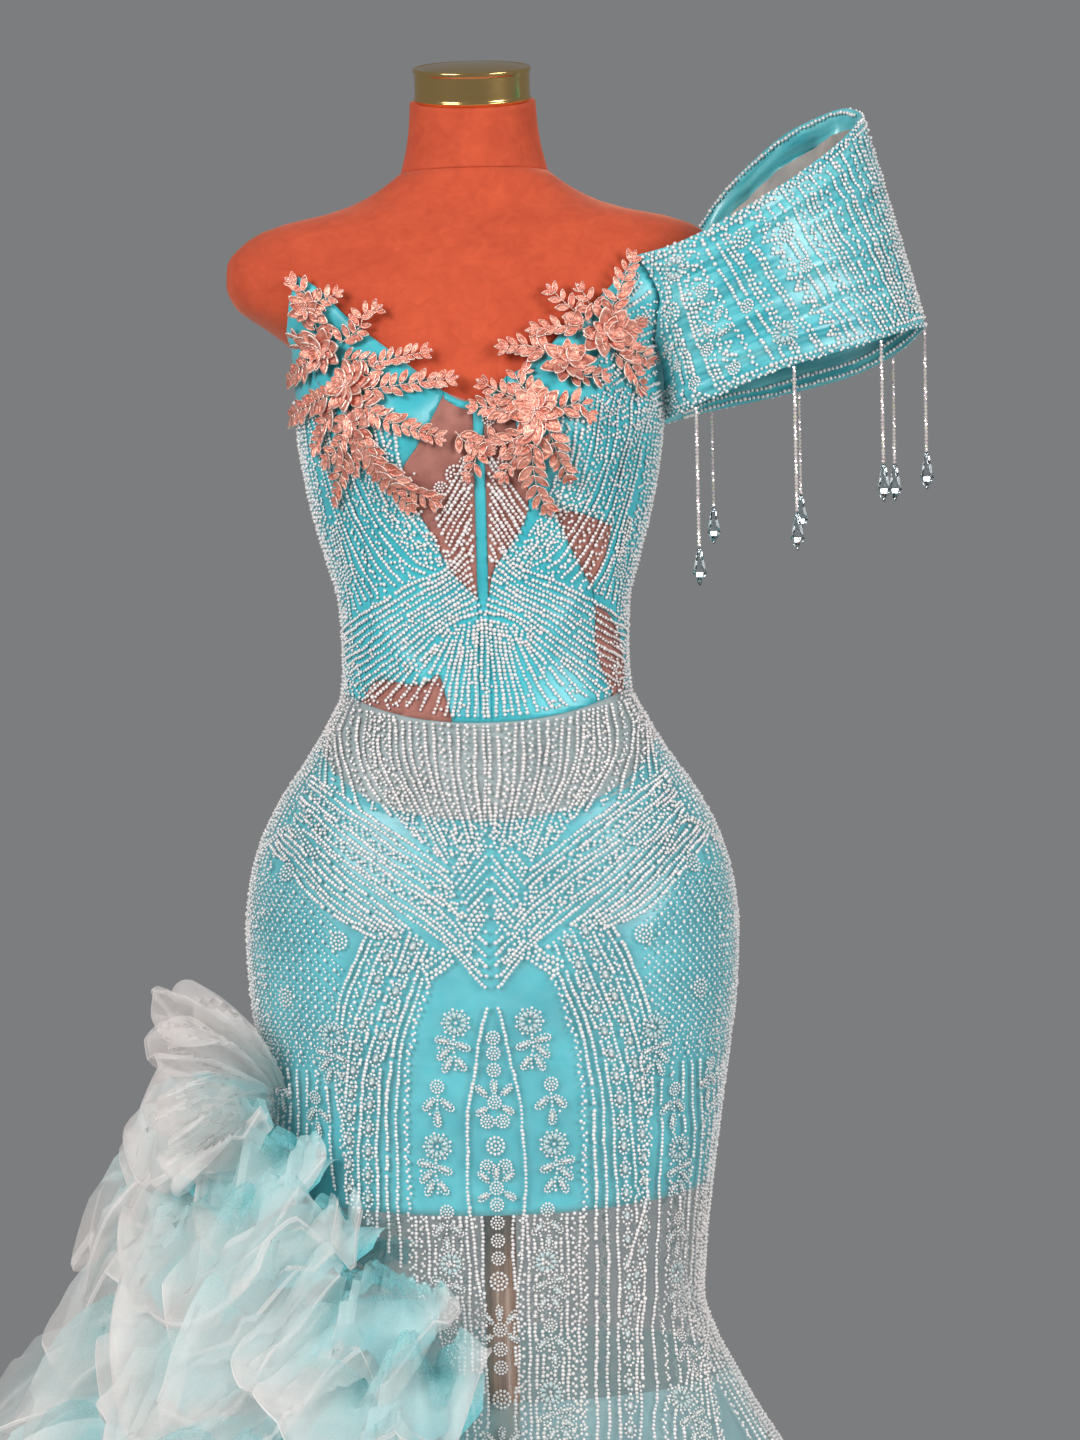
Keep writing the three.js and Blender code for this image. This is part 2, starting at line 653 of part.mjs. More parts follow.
// The tulle leaves the waist seam level with the bodice and clears the satin below it.
function tulleOffset(turn, z) {
  return mix(SATIN_OFFSET, TULLE_OFFSET, smooth(clamp((waistSeam(turn) - z) / 30, 0, 1)));
}
const GORES = [
  // name, fromTurn, toTurn
  ["front", -SIDE_SEAM, SIDE_SEAM],
  ["back_right", SIDE_SEAM, 180],
  ["back_left", 180, 360 - SIDE_SEAM],
];
for (const [name, fromTurn, toTurn] of GORES) {
  addMesh(`overskirt_${name}`,
    cutPanel(band(fromTurn, toTurn, kneeSeam, waistSeam), tulleOffset, TULLE_WALL, 2.8), beadedTulle);
  addMesh(`flare_${name}`,
    cutPanel(band(fromTurn, toTurn, hem, kneeSeam), TULLE_OFFSET, TULLE_WALL, 4), beadedTulle);
}
const petticoatTop = () => KNEE_SEAM - 6;
// The petticoat is caught to the knee seam and hangs inside the flare.
function petticoatOffset(turn, z) {
  const held = TULLE_OFFSET - TULLE_WALL - SEAM_GAP;
  return mix(held, PETTICOAT_OFFSET, smooth(clamp((KNEE_SEAM - 10 - z) / 120, 0, 1)));
}
const petticoatHem = () => HEM + 18;
addMesh("petticoat_front",
  cutPanel(band(-SIDE_SEAM, SIDE_SEAM, petticoatHem, petticoatTop), petticoatOffset, TULLE_WALL, 4),
  stiffTulle);
addMesh("petticoat_back",
  cutPanel(band(SIDE_SEAM, 360 - SIDE_SEAM, petticoatHem, petticoatTop), petticoatOffset, TULLE_WALL, 4),
  stiffTulle);

// ---------------------------------------------------------------- the off-shoulder sleeve
// The sleeve is a wide band that leaves the front of the bodice, turns back at its outer end and
// returns to the back. Its lower and upper edges pass through these stations.
const SLEEVE = [
  // station, xLow, yLow, zLow, xTop, yTop, zTop
  [0.00, 147, -10, 1313, 132, -66, 1438],
  [0.12, 174, -48, 1324, 160, -78, 1448],
  [0.28, 235, -60, 1348, 215, -76, 1476],
  [0.42, 300, -46, 1366, 265, -54, 1508],
  [0.50, 342, -18, 1379, 298, -24, 1536],
  [0.56, 357, 8, 1382, 309, 6, 1552],
  [0.63, 342, 32, 1367, 297, 32, 1560],
  [0.73, 300, 56, 1346, 262, 58, 1549],
  [0.84, 235, 80, 1331, 215, 88, 1514],
  [0.93, 180, 76, 1320, 168, 106, 1455],
  [1.00, 149, 12, 1311, 118, 78, 1356],
];
const SLEEVE_TURN = 0.56;        // station of the fold at the outer end
const SLEEVE_WALL = 2;
const SLEEVE_BULGE = 5;
const SLEEVE_LIFT = 0.8;         // room between the bodice and the seamed ends of the band
const ARM_CENTRE = new THREE.Vector3(250, 0, 1440);
const SLEEVE_EASE = 0.14;        // share of the band that bends from its seam into its own shape

// Where the sleeve is sewn to the bodice, from the lower to the upper edge.
const SEWN_FRONT = [
  // share, turn, z
  [0, 90, 1313], [0.25, 88, 1340], [0.45, 82, 1366], [0.7, 57, 1397], [1, 44, 1437],
];
const SEWN_BACK = [
  [0, 93, 1311], [0.3, 97, 1330], [0.6, 106, 1346], [1, 126, 1345],
];

function sewnPoint(table, share) {
  const turn = readTable(table, 1, share);
  const z = readTable(table, 2, share);
  return layerPoint(turn, z, SATIN_OFFSET + SATIN_WALL + SLEEVE_WALL + SLEEVE_LIFT);
}

// station runs round the band from front to back, share from the lower to the upper edge.
function bandPoint(station, share) {
  const low = [1, 2, 3].map((column) => readTable(SLEEVE, column, station));
  const top = [4, 5, 6].map((column) => readTable(SLEEVE, column, station));
  const point = new THREE.Vector3(...low).lerp(new THREE.Vector3(...top), share);
  const facing = Math.cos(Math.PI * clamp(station, 0, 1));
  point.y -= SLEEVE_BULGE * Math.sin(Math.PI * share) * facing;
  return point;
}

// Near both ends the band bends from its own shape into the seam that holds it.
function sleevePoint(station, share) {
  const point = bandPoint(station, share);
  const nearFront = clamp(1 - station / SLEEVE_EASE, 0, 1) ** 2;
  const nearBack = clamp(1 - (1 - station) / SLEEVE_EASE, 0, 1) ** 2;
  point.addScaledVector(sewnPoint(SEWN_FRONT, share).sub(bandPoint(0, share)), nearFront);
  return point.addScaledVector(sewnPoint(SEWN_BACK, share).sub(bandPoint(1, share)), nearBack);
}

function sleevePanel(fromStation, toStation, columns) {
  return gridWall(4, columns, (u, v) => sleevePoint(mix(fromStation, toStation, u), v), SLEEVE_WALL);
}
const HALF_GAP = 0.0016;         // share of the band's length
addMesh("sleeve_front", sleevePanel(0, SLEEVE_TURN - HALF_GAP, 12), satin);
addMesh("sleeve_back", sleevePanel(SLEEVE_TURN + HALF_GAP, 1, 12), satin);

// A mesh lining shows inside the back of the sleeve, below the satin facing.
const MESH_LINING = { from: 0.6, to: 0.86, low: 0.12, high: 0.6, inside: 1.5 };
addMesh("sleeve_mesh_lining", gridWall(2, 8, (u, v) => {
  const station = mix(MESH_LINING.from, MESH_LINING.to, u);
  const share = mix(MESH_LINING.low, MESH_LINING.high, v);
  const inwards = sleevePoint(station, share).sub(ARM_CENTRE).setZ(0).normalize();
  return sleevePoint(station, share).addScaledVector(inwards, -MESH_LINING.inside - SLEEVE_WALL);
}, MESH_WALL), nudeMesh);

// ---------------------------------------------------------------- bead strands and crystal drops
const STRAND_RADIUS = 1.6;
const STRAND_SIDES = 8;
const STRAND_STEP = 9;
const DROP = { length: 30, radius: 6, neck: 2, neckDepth: 4, widestAt: 21, sides: 8 };
const STRAND_TUCK = 0.45;        // share of its radius that a strand's end lies below the seam gap
const STRANDS = [
  // station on the lower edge, length
  [0.104, 110], [0.308, 114], [0.452, 97], [0.56, 98], [0.655, 86], [0.8, 83], [0.915, 77],
];

function strand(top, length) {
  const bottom = top.clone().setZ(top.z - length);
  const rim = [];
  for (let i = 0; i < STRAND_SIDES; i += 1) {
    const angle = i * 2 * Math.PI / STRAND_SIDES;
    rim.push(new THREE.Vector2(STRAND_RADIUS * Math.cos(angle), STRAND_RADIUS * Math.sin(angle)));
  }
  return new THREE.ExtrudeGeometry(new THREE.Shape(rim), {
    steps: Math.round(length / STRAND_STEP),
    bevelEnabled: false,
    extrudePath: new THREE.LineCurve3(top, bottom),
  });
}

function drop(top) {
  const { length, radius, neck, neckDepth, widestAt, sides } = DROP;
  const profile = [[0, -length], [radius, -widestAt], [neck, -neckDepth], [neck, -0.6], [0, 0]];
  const geometry = turned(profile, sides);
  return geometry.translate(top.x, top.y, top.z);
}

STRANDS.forEach(([station, length], i) => {
  const edge = sleevePoint(station, 0);
  const ahead = sleevePoint(station + 0.004, 0).sub(edge);
  const intoWall = new THREE.Vector3(-ahead.y, ahead.x, 0).normalize();
  const top = edge.addScaledVector(intoWall, SLEEVE_WALL / 2);
  top.z -= SEAM_GAP + STRAND_RADIUS * STRAND_TUCK;
  addMesh(`bead_strand_${i + 1}`, strand(top, length), beads);
  addMesh(`crystal_drop_${i + 1}`, drop(top.clone().setZ(top.z - length - SEAM_GAP)), crystal);
});

// ---------------------------------------------------------------- embroidered flower sprays
const SPRAYS = {
  spray_left: [[-132, 1424], [-138, 1398], [-132, 1372], [-136, 1346], [-133, 1316], [-118, 1300],
    [-110, 1262], [-96, 1282], [-84, 1264], [-66, 1290], [-42, 1258], [-36, 1286], [-24.5, 1294],
    [-28, 1312], [-24.5, 1340], [-46, 1364], [-58, 1370], [-78, 1400], [-96, 1392], [-112, 1410]],
  spray_right: [[116, 1440], [98, 1424], [76, 1420], [58, 1416], [52, 1396], [38, 1386], [24, 1370],
    [32, 1350], [22, 1332], [30, 1306], [22, 1286], [38, 1272], [48, 1252], [58, 1274], [72, 1284],
    [80, 1306], [96, 1322], [120, 1340], [124, 1366], [130, 1392], [124, 1420]],
  spray_bridge: [[-23.5, 1310], [-12, 1296], [0, 1282], [11, 1292], [21.5, 1300], [21, 1314], [10, 1306],
    [0, 1304], [-12, 1310]],
};
for (const [name, outline] of Object.entries(SPRAYS)) {
  addMesh(name, cutPanel(onFigure(outline), APPLIQUE_OFFSET, APPLIQUE_WALL), roseThread);
}

// ---------------------------------------------------------------- the tulle cascade
// Each tier is a gathered strip sewn round the left side of the skirt, its hem standing away.
const TIERS = [
  // sewnHeight, frontTurn, backTurn, reach, drop
  [742, -42, -138, 122, 58],
  [690, -27, -148, 168, 84],
  [634, -13, -157, 192, 86],
  [576, -3, -165, 238, 92],
  [514, 3, -171, 288, 98],
  [440, 5, -176, 316, 104],
  [358, 5, -176, 310, 104],
  [276, 5, -176, 306, 104],
  [196, 5, -176, 300, 104],
  [118, 5, -176, 292, 84],
];
const TIER_WALL = 1.4;
const TIER_RISE = 16;
const WAVES = { count: 9, height: 20 };
const TIER_SEAT = TULLE_OFFSET + TULLE_WALL + 0.95;  // just clear of the facets of the skirt
const FLARE_SEAT = TIER_SEAT + 0.45;  // the folds of the flare need a little more room

function tierPoint(tier, turn, v) {
  const [height, frontTurn, backTurn, reach, drop] = tier;
  const along = clamp((turn - frontTurn) / (backTurn - frontTurn), 0, 1);
  const spread = 0.22 + 0.78 * Math.sin(Math.PI * along) ** 0.8;
  const outwards = new THREE.Vector3(Math.sin(radians(turn)), -Math.cos(radians(turn)), 0);
  const wave = Math.sin(radians(turn) * WAVES.count) * WAVES.height * v * spread;
  const point = layerPoint(turn, height, height > KNEE_SEAM ? TIER_SEAT : FLARE_SEAT);
  point.addScaledVector(outwards, reach * spread * v);
  point.z += (TIER_RISE * Math.sin(Math.PI * v) - drop * v * v) * spread + wave;
  return point;
}

// The tier's columns fall on the facet columns of the skirt and half way between them.
function tierTurns([, frontTurn, backTurn]) {
  const step = COLUMN_STEP / 2;
  const turns = [backTurn];
  for (let turn = Math.ceil((backTurn + 2) / step) * step; turn < frontTurn - 2; turn += step) {
    turns.push(turn);
  }
  return turns.concat([frontTurn]);
}

TIERS.forEach((tier, i) => {
  const turns = tierTurns(tier);
  const columns = turns.length - 1;
  const turnAlong = (u) => {
    const column = Math.min(Math.floor(u * columns + 1e-9), columns - 1);
    return mix(turns[column], turns[column + 1], u * columns - column);
  };
  const pointAt = (u, v) => tierPoint(tier, turnAlong(u), 1 - v);
  addMesh(`ruffle_${i + 2}`, gridWall(2, columns, pointAt, TIER_WALL), stiffTulle);
});

// The top loop of the cascade stands up from the hip like an open fan.
const PUFF = { turn: -66, height: 782, reach: 128, rise: 84, wide: 74 };
function puffPoint(u, v) {
  const angle = radians(mix(-28, 112, u));
  const side = Math.cos(angle * 1.3);
  const root = layerPoint(PUFF.turn - 5 * side, PUFF.height + 14 * Math.sin(angle), FLARE_SEAT);
  const outwards = new THREE.Vector3(Math.sin(radians(PUFF.turn)), -Math.cos(radians(PUFF.turn)), 0);
  const sideways = new THREE.Vector3(-outwards.y, outwards.x, 0);
  const length = v * (1 + 0.12 * Math.sin(angle * 6));
  root.addScaledVector(outwards, PUFF.reach * length * Math.cos(angle * 0.6));
  root.addScaledVector(sideways, PUFF.wide * length * side);
  root.z += PUFF.rise * length * Math.sin(angle);
  return root;
}
addMesh("ruffle_1", gridWall(3, 14, (u, v) => puffPoint(u, v), TIER_WALL), stiffTulle);

const gown = new THREE.Group();
meshes.forEach((mesh) => gown.add(mesh));
export default gown;
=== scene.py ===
"""A beaded mermaid prom gown on a limbless dress form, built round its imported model.

Metres, +Z up, front -Y. Tables of points that are in millimetres say so.
"""
import math

import bmesh
import bpy
import numpy as np
from mathutils import Matrix, Vector
from mathutils.kdtree import KDTree


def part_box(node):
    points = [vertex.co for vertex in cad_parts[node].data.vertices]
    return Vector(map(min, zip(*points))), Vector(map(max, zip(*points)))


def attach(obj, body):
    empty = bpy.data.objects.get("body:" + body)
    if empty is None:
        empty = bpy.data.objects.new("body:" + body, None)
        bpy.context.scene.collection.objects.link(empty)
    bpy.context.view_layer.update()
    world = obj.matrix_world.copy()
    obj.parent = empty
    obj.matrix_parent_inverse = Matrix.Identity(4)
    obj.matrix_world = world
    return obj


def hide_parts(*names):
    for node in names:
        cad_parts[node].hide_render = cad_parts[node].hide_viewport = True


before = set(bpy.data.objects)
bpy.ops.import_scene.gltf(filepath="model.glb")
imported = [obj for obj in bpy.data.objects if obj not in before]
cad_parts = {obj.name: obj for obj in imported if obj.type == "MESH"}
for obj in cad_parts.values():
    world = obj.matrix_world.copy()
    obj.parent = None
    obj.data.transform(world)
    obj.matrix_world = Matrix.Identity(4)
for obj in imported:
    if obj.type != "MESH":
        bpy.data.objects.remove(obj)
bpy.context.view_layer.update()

# ---------------------------------------------------------------- camera, floor and light
# The camera stands three metres in front of the gown, a little above its waist, tipped slightly
# over as the dress form leans. Two soft boxes in front and one behind light a plain pale floor.
VIEW_POINT = Vector((0.042, 0, 1.076))
VIEW_DISTANCE = 3.0
VIEW_HEIGHT = 1.152                     # what the frame shows at the gown, from bottom to top
LOOKING_DOWN = math.radians(2.6)
LEAN = math.radians(1.36)
SENSOR = 36
FLOOR_RADIUS, FLOOR_GAP = 1.6, 0.0006

camera_data = bpy.data.cameras.new("camera")
camera_data.sensor_width = SENSOR
camera_data.lens = SENSOR * VIEW_DISTANCE / VIEW_HEIGHT
camera = bpy.data.objects.new("camera", camera_data)
bpy.context.scene.collection.objects.link(camera)
camera.location = VIEW_POINT + VIEW_DISTANCE * Vector((0, -math.cos(LOOKING_DOWN), math.sin(LOOKING_DOWN)))
aim = (VIEW_POINT - camera.location).to_track_quat("-Z", "Y").to_matrix()
camera.rotation_euler = (aim @ Matrix.Rotation(-LEAN, 3, "Z")).to_euler()
bpy.context.scene.camera = camera


def material(name, color, roughness, **sockets):
    """A Principled material with uniform values set on its own sockets."""
    made = bpy.data.materials.new(name)
    made.use_nodes = True
    shader = made.node_tree.nodes["Principled BSDF"].inputs
    shader["Base Color"].default_value = (*color, 1)
    shader["Roughness"].default_value = roughness
    for socket, value in sockets.items():
        shader[socket.replace("_", " ")].default_value = value
    return made


floor_mesh = bpy.data.meshes.new("floor")
bm = bmesh.new()
bmesh.ops.create_circle(bm, cap_ends=True, segments=96, radius=FLOOR_RADIUS,
                        matrix=Matrix.Translation((0, 0, -FLOOR_GAP)))
bm.to_mesh(floor_mesh)
bm.free()
floor = bpy.data.objects.new("floor", floor_mesh)
bpy.context.scene.collection.objects.link(floor)
floor_mesh.materials.append(material("pale_floor", (0.62, 0.62, 0.62), 0.7))

SOFT_BOXES = [
    # name, place, size, power
    ("soft_box_left", (-2.0, -2.6, 2.5), 1.6, 92),
    ("soft_box_right", (2.3, -2.2, 1.9), 1.4, 60),
    ("soft_box_back", (0.6, 2.6, 2.5), 1.6, 44),
]
for name, place, size, power in SOFT_BOXES:
    light = bpy.data.lights.new(name, "AREA")
    light.size = size
    light.energy = power
    soft_box = bpy.data.objects.new(name, light)
    bpy.context.scene.collection.objects.link(soft_box)
    soft_box.location = place
    soft_box.visible_glossy = place[1] < 0
    soft_box.rotation_euler = (Vector((0, 0, 1.0)) - Vector(place)).to_track_quat("-Z", "Y").to_euler()

world = bpy.data.worlds.new("studio")
world.use_nodes = True
world.node_tree.nodes["Background"].inputs["Color"].default_value = (0.2, 0.205, 0.21, 1)
world.node_tree.nodes["Background"].inputs["Strength"].default_value = 1.0
bpy.context.scene.world = world
bpy.context.scene.view_settings.view_transform = "Standard"
bpy.context.scene.cycles.transparent_max_bounces = 40

# ---------------------------------------------------------------- bead strands and crystal drops
# Seven limp strands of small round glass beads on thread, sewn into the lower edge of the sleeve.
# Each ends in a long faceted crystal drop, hung from a small bead at its narrow top.
STRAND_COUNT = 7
STRAND_BEAD = 0.0034
STRAND_PITCH = 0.0029
STRAND_TWIST = 0.7                      # turn of each bead from the one above it
DROP_PROFILE = [
    # radius, height below the strand
    (0.0018, 0.0008), (0.0024, 0.0035), (0.0062, 0.0210), (0.0002, 0.0305),
]
DROP_SIDES = 6
DROP_BEAD, DROP_BEAD_FORWARD, DROP_BEAD_BELOW = 0.0022, 0.0015, 0.0025


def tree_of(finish):
    """The nodes, the links and the shader's sockets of a material."""
    tree = finish.node_tree
    return tree.nodes, tree.links, tree.nodes["Principled BSDF"].inputs


def noise_on(finish, scale, detail=2, stretch=None, coordinates="Object", distortion=0):
    """Adds soft noise to a material, stretched along the axes of the object or of its UV map."""
    nodes, links, _ = tree_of(finish)
    source = nodes.new("ShaderNodeTexCoord").outputs[coordinates]
    if stretch:
        mapping = nodes.new("ShaderNodeMapping")
        mapping.inputs["Scale"].default_value = stretch
        links.new(source, mapping.inputs["Vector"])
        source = mapping.outputs["Vector"]
    noise = nodes.new("ShaderNodeTexNoise")
    for socket, value in (("Scale", scale), ("Detail", detail), ("Distortion", distortion)):
        noise.inputs[socket].default_value = value
    links.new(source, noise.inputs["Vector"])
    return noise.outputs["Fac"]


def shaded(finish, value, shades, socket="Base Color"):
    """Turns a value into shades, each set at its place from 0 to 1, on one of the shader's sockets."""
    nodes, links, shader = tree_of(finish)
    ramp = nodes.new("ShaderNodeValToRGB")
    stops = ramp.color_ramp.elements
    for number, (place, shade) in enumerate(shades):
        stop = stops[number] if number < 2 else stops.new(place)
        stop.position = place
        stop.color = (*shade, 1)
    links.new(value, ramp.inputs["Fac"])
    links.new(ramp.outputs["Color"], shader[socket])
    return ramp.outputs["Color"]


crystal = material("crystal", (0.80, 0.88, 0.91), 0.01, Transmission_Weight=1.0, IOR=1.8)
strand_glass = material("strand_glass", (0.93, 0.8, 0.78), 0.12, Metallic=0.45, Coat_Weight=0.6)
shaded(strand_glass, noise_on(strand_glass, 420), ((0.32, (0.78, 0.52, 0.62)), (0.5, (0.95, 0.88, 0.86)),
                                                   (0.68, (0.92, 0.86, 0.62))))


def finished(name, mesh, finishes, slot, nodes):
    """Makes a mesh into a finished piece and hides those CAD nodes, whose place it takes."""
    for finish in finishes:
        mesh.materials.append(finish)
    piece = bpy.data.objects.new(name, mesh)
    bpy.context.scene.collection.objects.link(piece)
    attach(piece, "root")
    if nodes:
        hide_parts(*nodes)
    return piece


def piece_of(bm, name, finish, slot, *nodes, smooth=True):
    """Makes a bmesh into a finished piece."""
    mesh = bpy.data.meshes.new(name)
    for face in bm.faces:
        face.smooth = smooth
    bm.to_mesh(mesh)
    bm.free()
    return finished(name, mesh, [finish], slot, nodes)


for number in range(1, STRAND_COUNT + 1):
    low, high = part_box(f"bead_strand_{number}")
    x, y = (low.x + high.x) / 2, (low.y + high.y) / 2
    length = high.z - low.z
    bm = bmesh.new()
    beads = round(length / STRAND_PITCH)
    for i in range(beads):
        z = high.z - (i + 0.5) * length / beads
        turn = Matrix.Rotation(i * STRAND_TWIST, 4, "Z")
        bmesh.ops.create_icosphere(bm, subdivisions=1, radius=STRAND_BEAD / 2,
                                   matrix=Matrix.Translation((x, y, z)) @ turn)
    strand = piece_of(bm, f"strand_{number}", strand_glass, "glass_beads", f"bead_strand_{number}",
                      smooth=False)
    bm = bmesh.new()
    rings = []
    for radius, below in DROP_PROFILE:
        ring = bmesh.ops.create_circle(bm, segments=DROP_SIDES, radius=radius,
                                       matrix=Matrix.Translation((x, y, low.z - below)))["verts"]
        rings.append(list({edge for vert in ring for edge in vert.link_edges}))
    for upper, lower in zip(rings, rings[1:]):
        bmesh.ops.bridge_loops(bm, edges=upper + lower)
    bmesh.ops.holes_fill(bm, edges=rings[0] + rings[-1])
    place = (x, y - DROP_BEAD_FORWARD, low.z - DROP_BEAD_BELOW)
    bmesh.ops.create_icosphere(bm, subdivisions=2, radius=DROP_BEAD, matrix=Matrix.Translation(place))
    bmesh.ops.recalc_face_normals(bm, faces=bm.faces)
    drop = piece_of(bm, f"drop_{number}", crystal, "crystal", f"crystal_drop_{number}", smooth=False)

# ---------------------------------------------------------------- dress form
# The form is a padded torso with rounded ends at the shoulders and no limbs, covered in brushed
# burnt-orange suede cloth with a seam round the base of its neck.
FIGURE = np.array([
    # z, half width, depth in front, depth behind, set back
    (0, 430, 340, 430, 0), (150, 386, 300, 385, 0), (300, 326, 248, 318, 0), (420, 262, 192, 240, 0),
    (500, 207, 150, 184, 0), (540, 184, 132, 158, 0), (580, 164, 119, 140, 0), (612, 155, 114, 134, 0),
    (660, 158, 114, 134, 0), (700, 163, 115, 135, 0), (756, 171, 116, 138, 0), (820, 181, 118, 142, 0),
    (865, 187, 119, 146, 0), (912, 189, 118, 149, 0), (948, 185, 114, 144, 0), (980, 176, 108, 132, 0),
    (1012, 160, 99, 114, 0), (1044, 138, 89, 96, 0), (1076, 119, 81, 83, 0), (1100, 110, 76, 78, 0),
    (1130, 108, 74, 76, 0), (1172, 110, 75, 79, 0), (1204, 118, 78, 84, 0), (1236, 127, 83, 89, 0),
    (1268, 134, 88, 93, 0), (1300, 139, 92, 96, 2), (1332, 142, 95, 97, 4), (1362, 144, 95, 98, 6),
    (1374, 147, 94, 98, 7), (1384, 158, 93, 98, 8), (1395, 173, 92, 97, 9), (1409, 192, 90, 95, 10),
    (1427, 200, 85, 90, 11), (1444, 199, 79, 84, 12), (1460, 186, 72, 77, 13), (1471, 168, 66, 70, 14),
    (1478, 143, 62, 65, 15), (1483, 117, 59, 61, 15), (1490, 97, 56, 58, 15), (1501, 76, 54, 55, 14),
    (1513, 60, 52, 53, 13),
]) / 1000
ROUNDNESS = 2.2
CUP_REACH, CUP_SIDE, CUP_HEIGHT, CUP_WIDE, CUP_TALL = 0.030, 0.074, 1.306, 0.044, 0.046
KNEE_SEAM = 0.560
FOLD_COUNT, FOLD_DEPTH, FOLDS_FULL = 5, 0.020, 0.200
FORM_BOTTOM, NECK_BASE = 0.815, 1.513


def read_table(table, column, key):
    """Reads one column on a curve that never overshoots, for an array of keys."""
    keys, values = table[:, 0], table[:, column]
    slopes = np.diff(values) / np.diff(keys)
    before, after = slopes[:-1], slopes[1:]
    level = before * after <= 0
    inner = np.where(level, 0, 2 * before * after / np.where(level, 1, before + after))
    tangents = np.concatenate(([slopes[0]], inner, [slopes[-1]]))
    key = np.clip(key, keys[0], keys[-1])
    row = np.clip(np.searchsorted(keys, key, side="right") - 1, 0, len(keys) - 2)
    span = keys[row + 1] - keys[row]
    t = (key - keys[row]) / span
    return ((1 + 2 * t) * (1 - t) ** 2 * values[row] + t * (1 - t) ** 2 * span * tangents[row]
            + t * t * (3 - 2 * t) * values[row + 1] + t * t * (t - 1) * span * tangents[row + 1])


def ease(share):
    share = np.clip(share, 0, 1)
    return share * share * (3 - 2 * share)


def figure_point(turn, z):
    """A point of the figure: turn is in degrees from centre front towards +X."""
    angle = np.radians(turn)
    sine, cosine = np.sin(angle), np.cos(angle)
    across = np.sign(sine) * np.abs(sine) ** (2 / ROUNDNESS)
    along = np.sign(cosine) * np.abs(cosine) ** (2 / ROUNDNESS)
    fold = FOLD_DEPTH * ease((KNEE_SEAM - z) / (KNEE_SEAM - FOLDS_FULL)) * np.cos(angle * FOLD_COUNT)
    depth = np.where(cosine >= 0, read_table(FIGURE, 2, z), read_table(FIGURE, 3, z)) + fold
    x = (read_table(FIGURE, 1, z) + fold) * across
    y = read_table(FIGURE, 4, z) - depth * along
    up = ((z - CUP_HEIGHT) / CUP_TALL) ** 2
    cups = sum(np.exp(-up - ((x - side) / CUP_WIDE) ** 2) for side in (-CUP_SIDE, CUP_SIDE))
    y = y - CUP_REACH * cups * np.clip(cosine, 0, 1) ** 0.5
    return np.stack([x, y, z + 0 * x], axis=-1)


def unit(vectors):
    return vectors / np.maximum(np.linalg.norm(vectors, axis=-1, keepdims=True), 1e-9)


def figure_normal(turn, z):
    along_turn = figure_point(turn + 0.5, z) - figure_point(turn - 0.5, z)
    along_height = figure_point(turn, z + 0.001) - figure_point(turn, z - 0.001)
    return unit(np.cross(along_turn, along_height))


def off_figure(turn, z, out):
    """A point a given way out from the figure."""
    turn, z = np.asarray(turn, float), np.asarray(z, float)
    return figure_point(turn, z) + figure_normal(turn, z) * np.asarray(out)[..., None]


def skin(columns, rows, place):
    """A bmesh grid with each point placed by its shares across and up."""
    bm = bmesh.new()
    bm.loops.layers.uv.new("UVMap")
    bmesh.ops.create_grid(bm, x_segments=columns, y_segments=rows, size=0.5, calc_uvs=True)
    shares = np.array([vert.co[:2] for vert in bm.verts]) + 0.5
    for vert, point in zip(bm.verts, place(shares[:, 0], shares[:, 1])):
        vert.co = point
    return bm


def close_seam(bm):
    bmesh.ops.remove_doubles(bm, verts=bm.verts, dist=1e-5)
    open_edges = [edge for edge in bm.edges if edge.is_boundary]
    bmesh.ops.holes_fill(bm, edges=open_edges)


def raised(finish, height, strength, distance):
    """Bumps a material's surface by a value."""
    nodes, links, shader = tree_of(finish)
    bump = nodes.new("ShaderNodeBump")
    bump.inputs["Strength"].default_value = strength
    bump.inputs["Distance"].default_value = distance
    links.new(height, bump.inputs["Height"])
    links.new(bump.outputs["Normal"], shader["Normal"])


suede = material("suede", (0.6, 0.08, 0.025), 0.88, Sheen_Weight=0.3, Sheen_Roughness=0.45,
                 Sheen_Tint=(1.0, 0.55, 0.4, 1))
nodes, links, _ = tree_of(suede)
blend = nodes.new("ShaderNodeMix")
blend.inputs["Factor"].default_value = 0.55
links.new(noise_on(suede, 16, 6, distortion=1.2), blend.inputs["A"])
links.new(noise_on(suede, 70, 6, (1, 1, 1.2), distortion=1.2), blend.inputs["B"])
shaded(suede, blend.outputs["Result"], ((0.25, (0.47, 0.052, 0.015)), (0.7, (0.66, 0.092, 0.031))))
raised(suede, noise_on(suede, 900, 6, distortion=1.2), 0.25, 0.0006)

bm = skin(96, 112, lambda u, v: figure_point(u * 360, FORM_BOTTOM + v * (NECK_BASE - FORM_BOTTOM)))
close_seam(bm)
torso = piece_of(bm, "torso", suede, "suede", "form_torso")

# The neck leans forward and ends level with its metal cap; a dark sewn line runs round its base.
NECK = np.array([
    # up, radius, lean in degrees
    (0, 59, 0), (8, 57, 3), (20, 54, 7), (36, 51.5, 11), (56, 50, 14),
]) * (0.001, 0.001, 1)
NECK_LEAN = 14
NECK_FLAT, NECK_SET_BACK, NECK_SWAY = 0.9, 0.013, 0.6
SEAM_GAP = 0.0003


def neck_ring(up, radius, lean, turn):
    """Points round the neck or its cap, on a ring tipped forwards."""
    lean, turn = np.radians(lean), np.radians(turn)
    x = radius * np.sin(turn)
    y = -radius * NECK_FLAT * np.cos(turn)
    return np.stack([x, NECK_SET_BACK - up * np.sin(lean) * NECK_SWAY + y * np.cos(lean),
                     NECK_BASE + SEAM_GAP + up + y * np.sin(lean)], axis=-1)


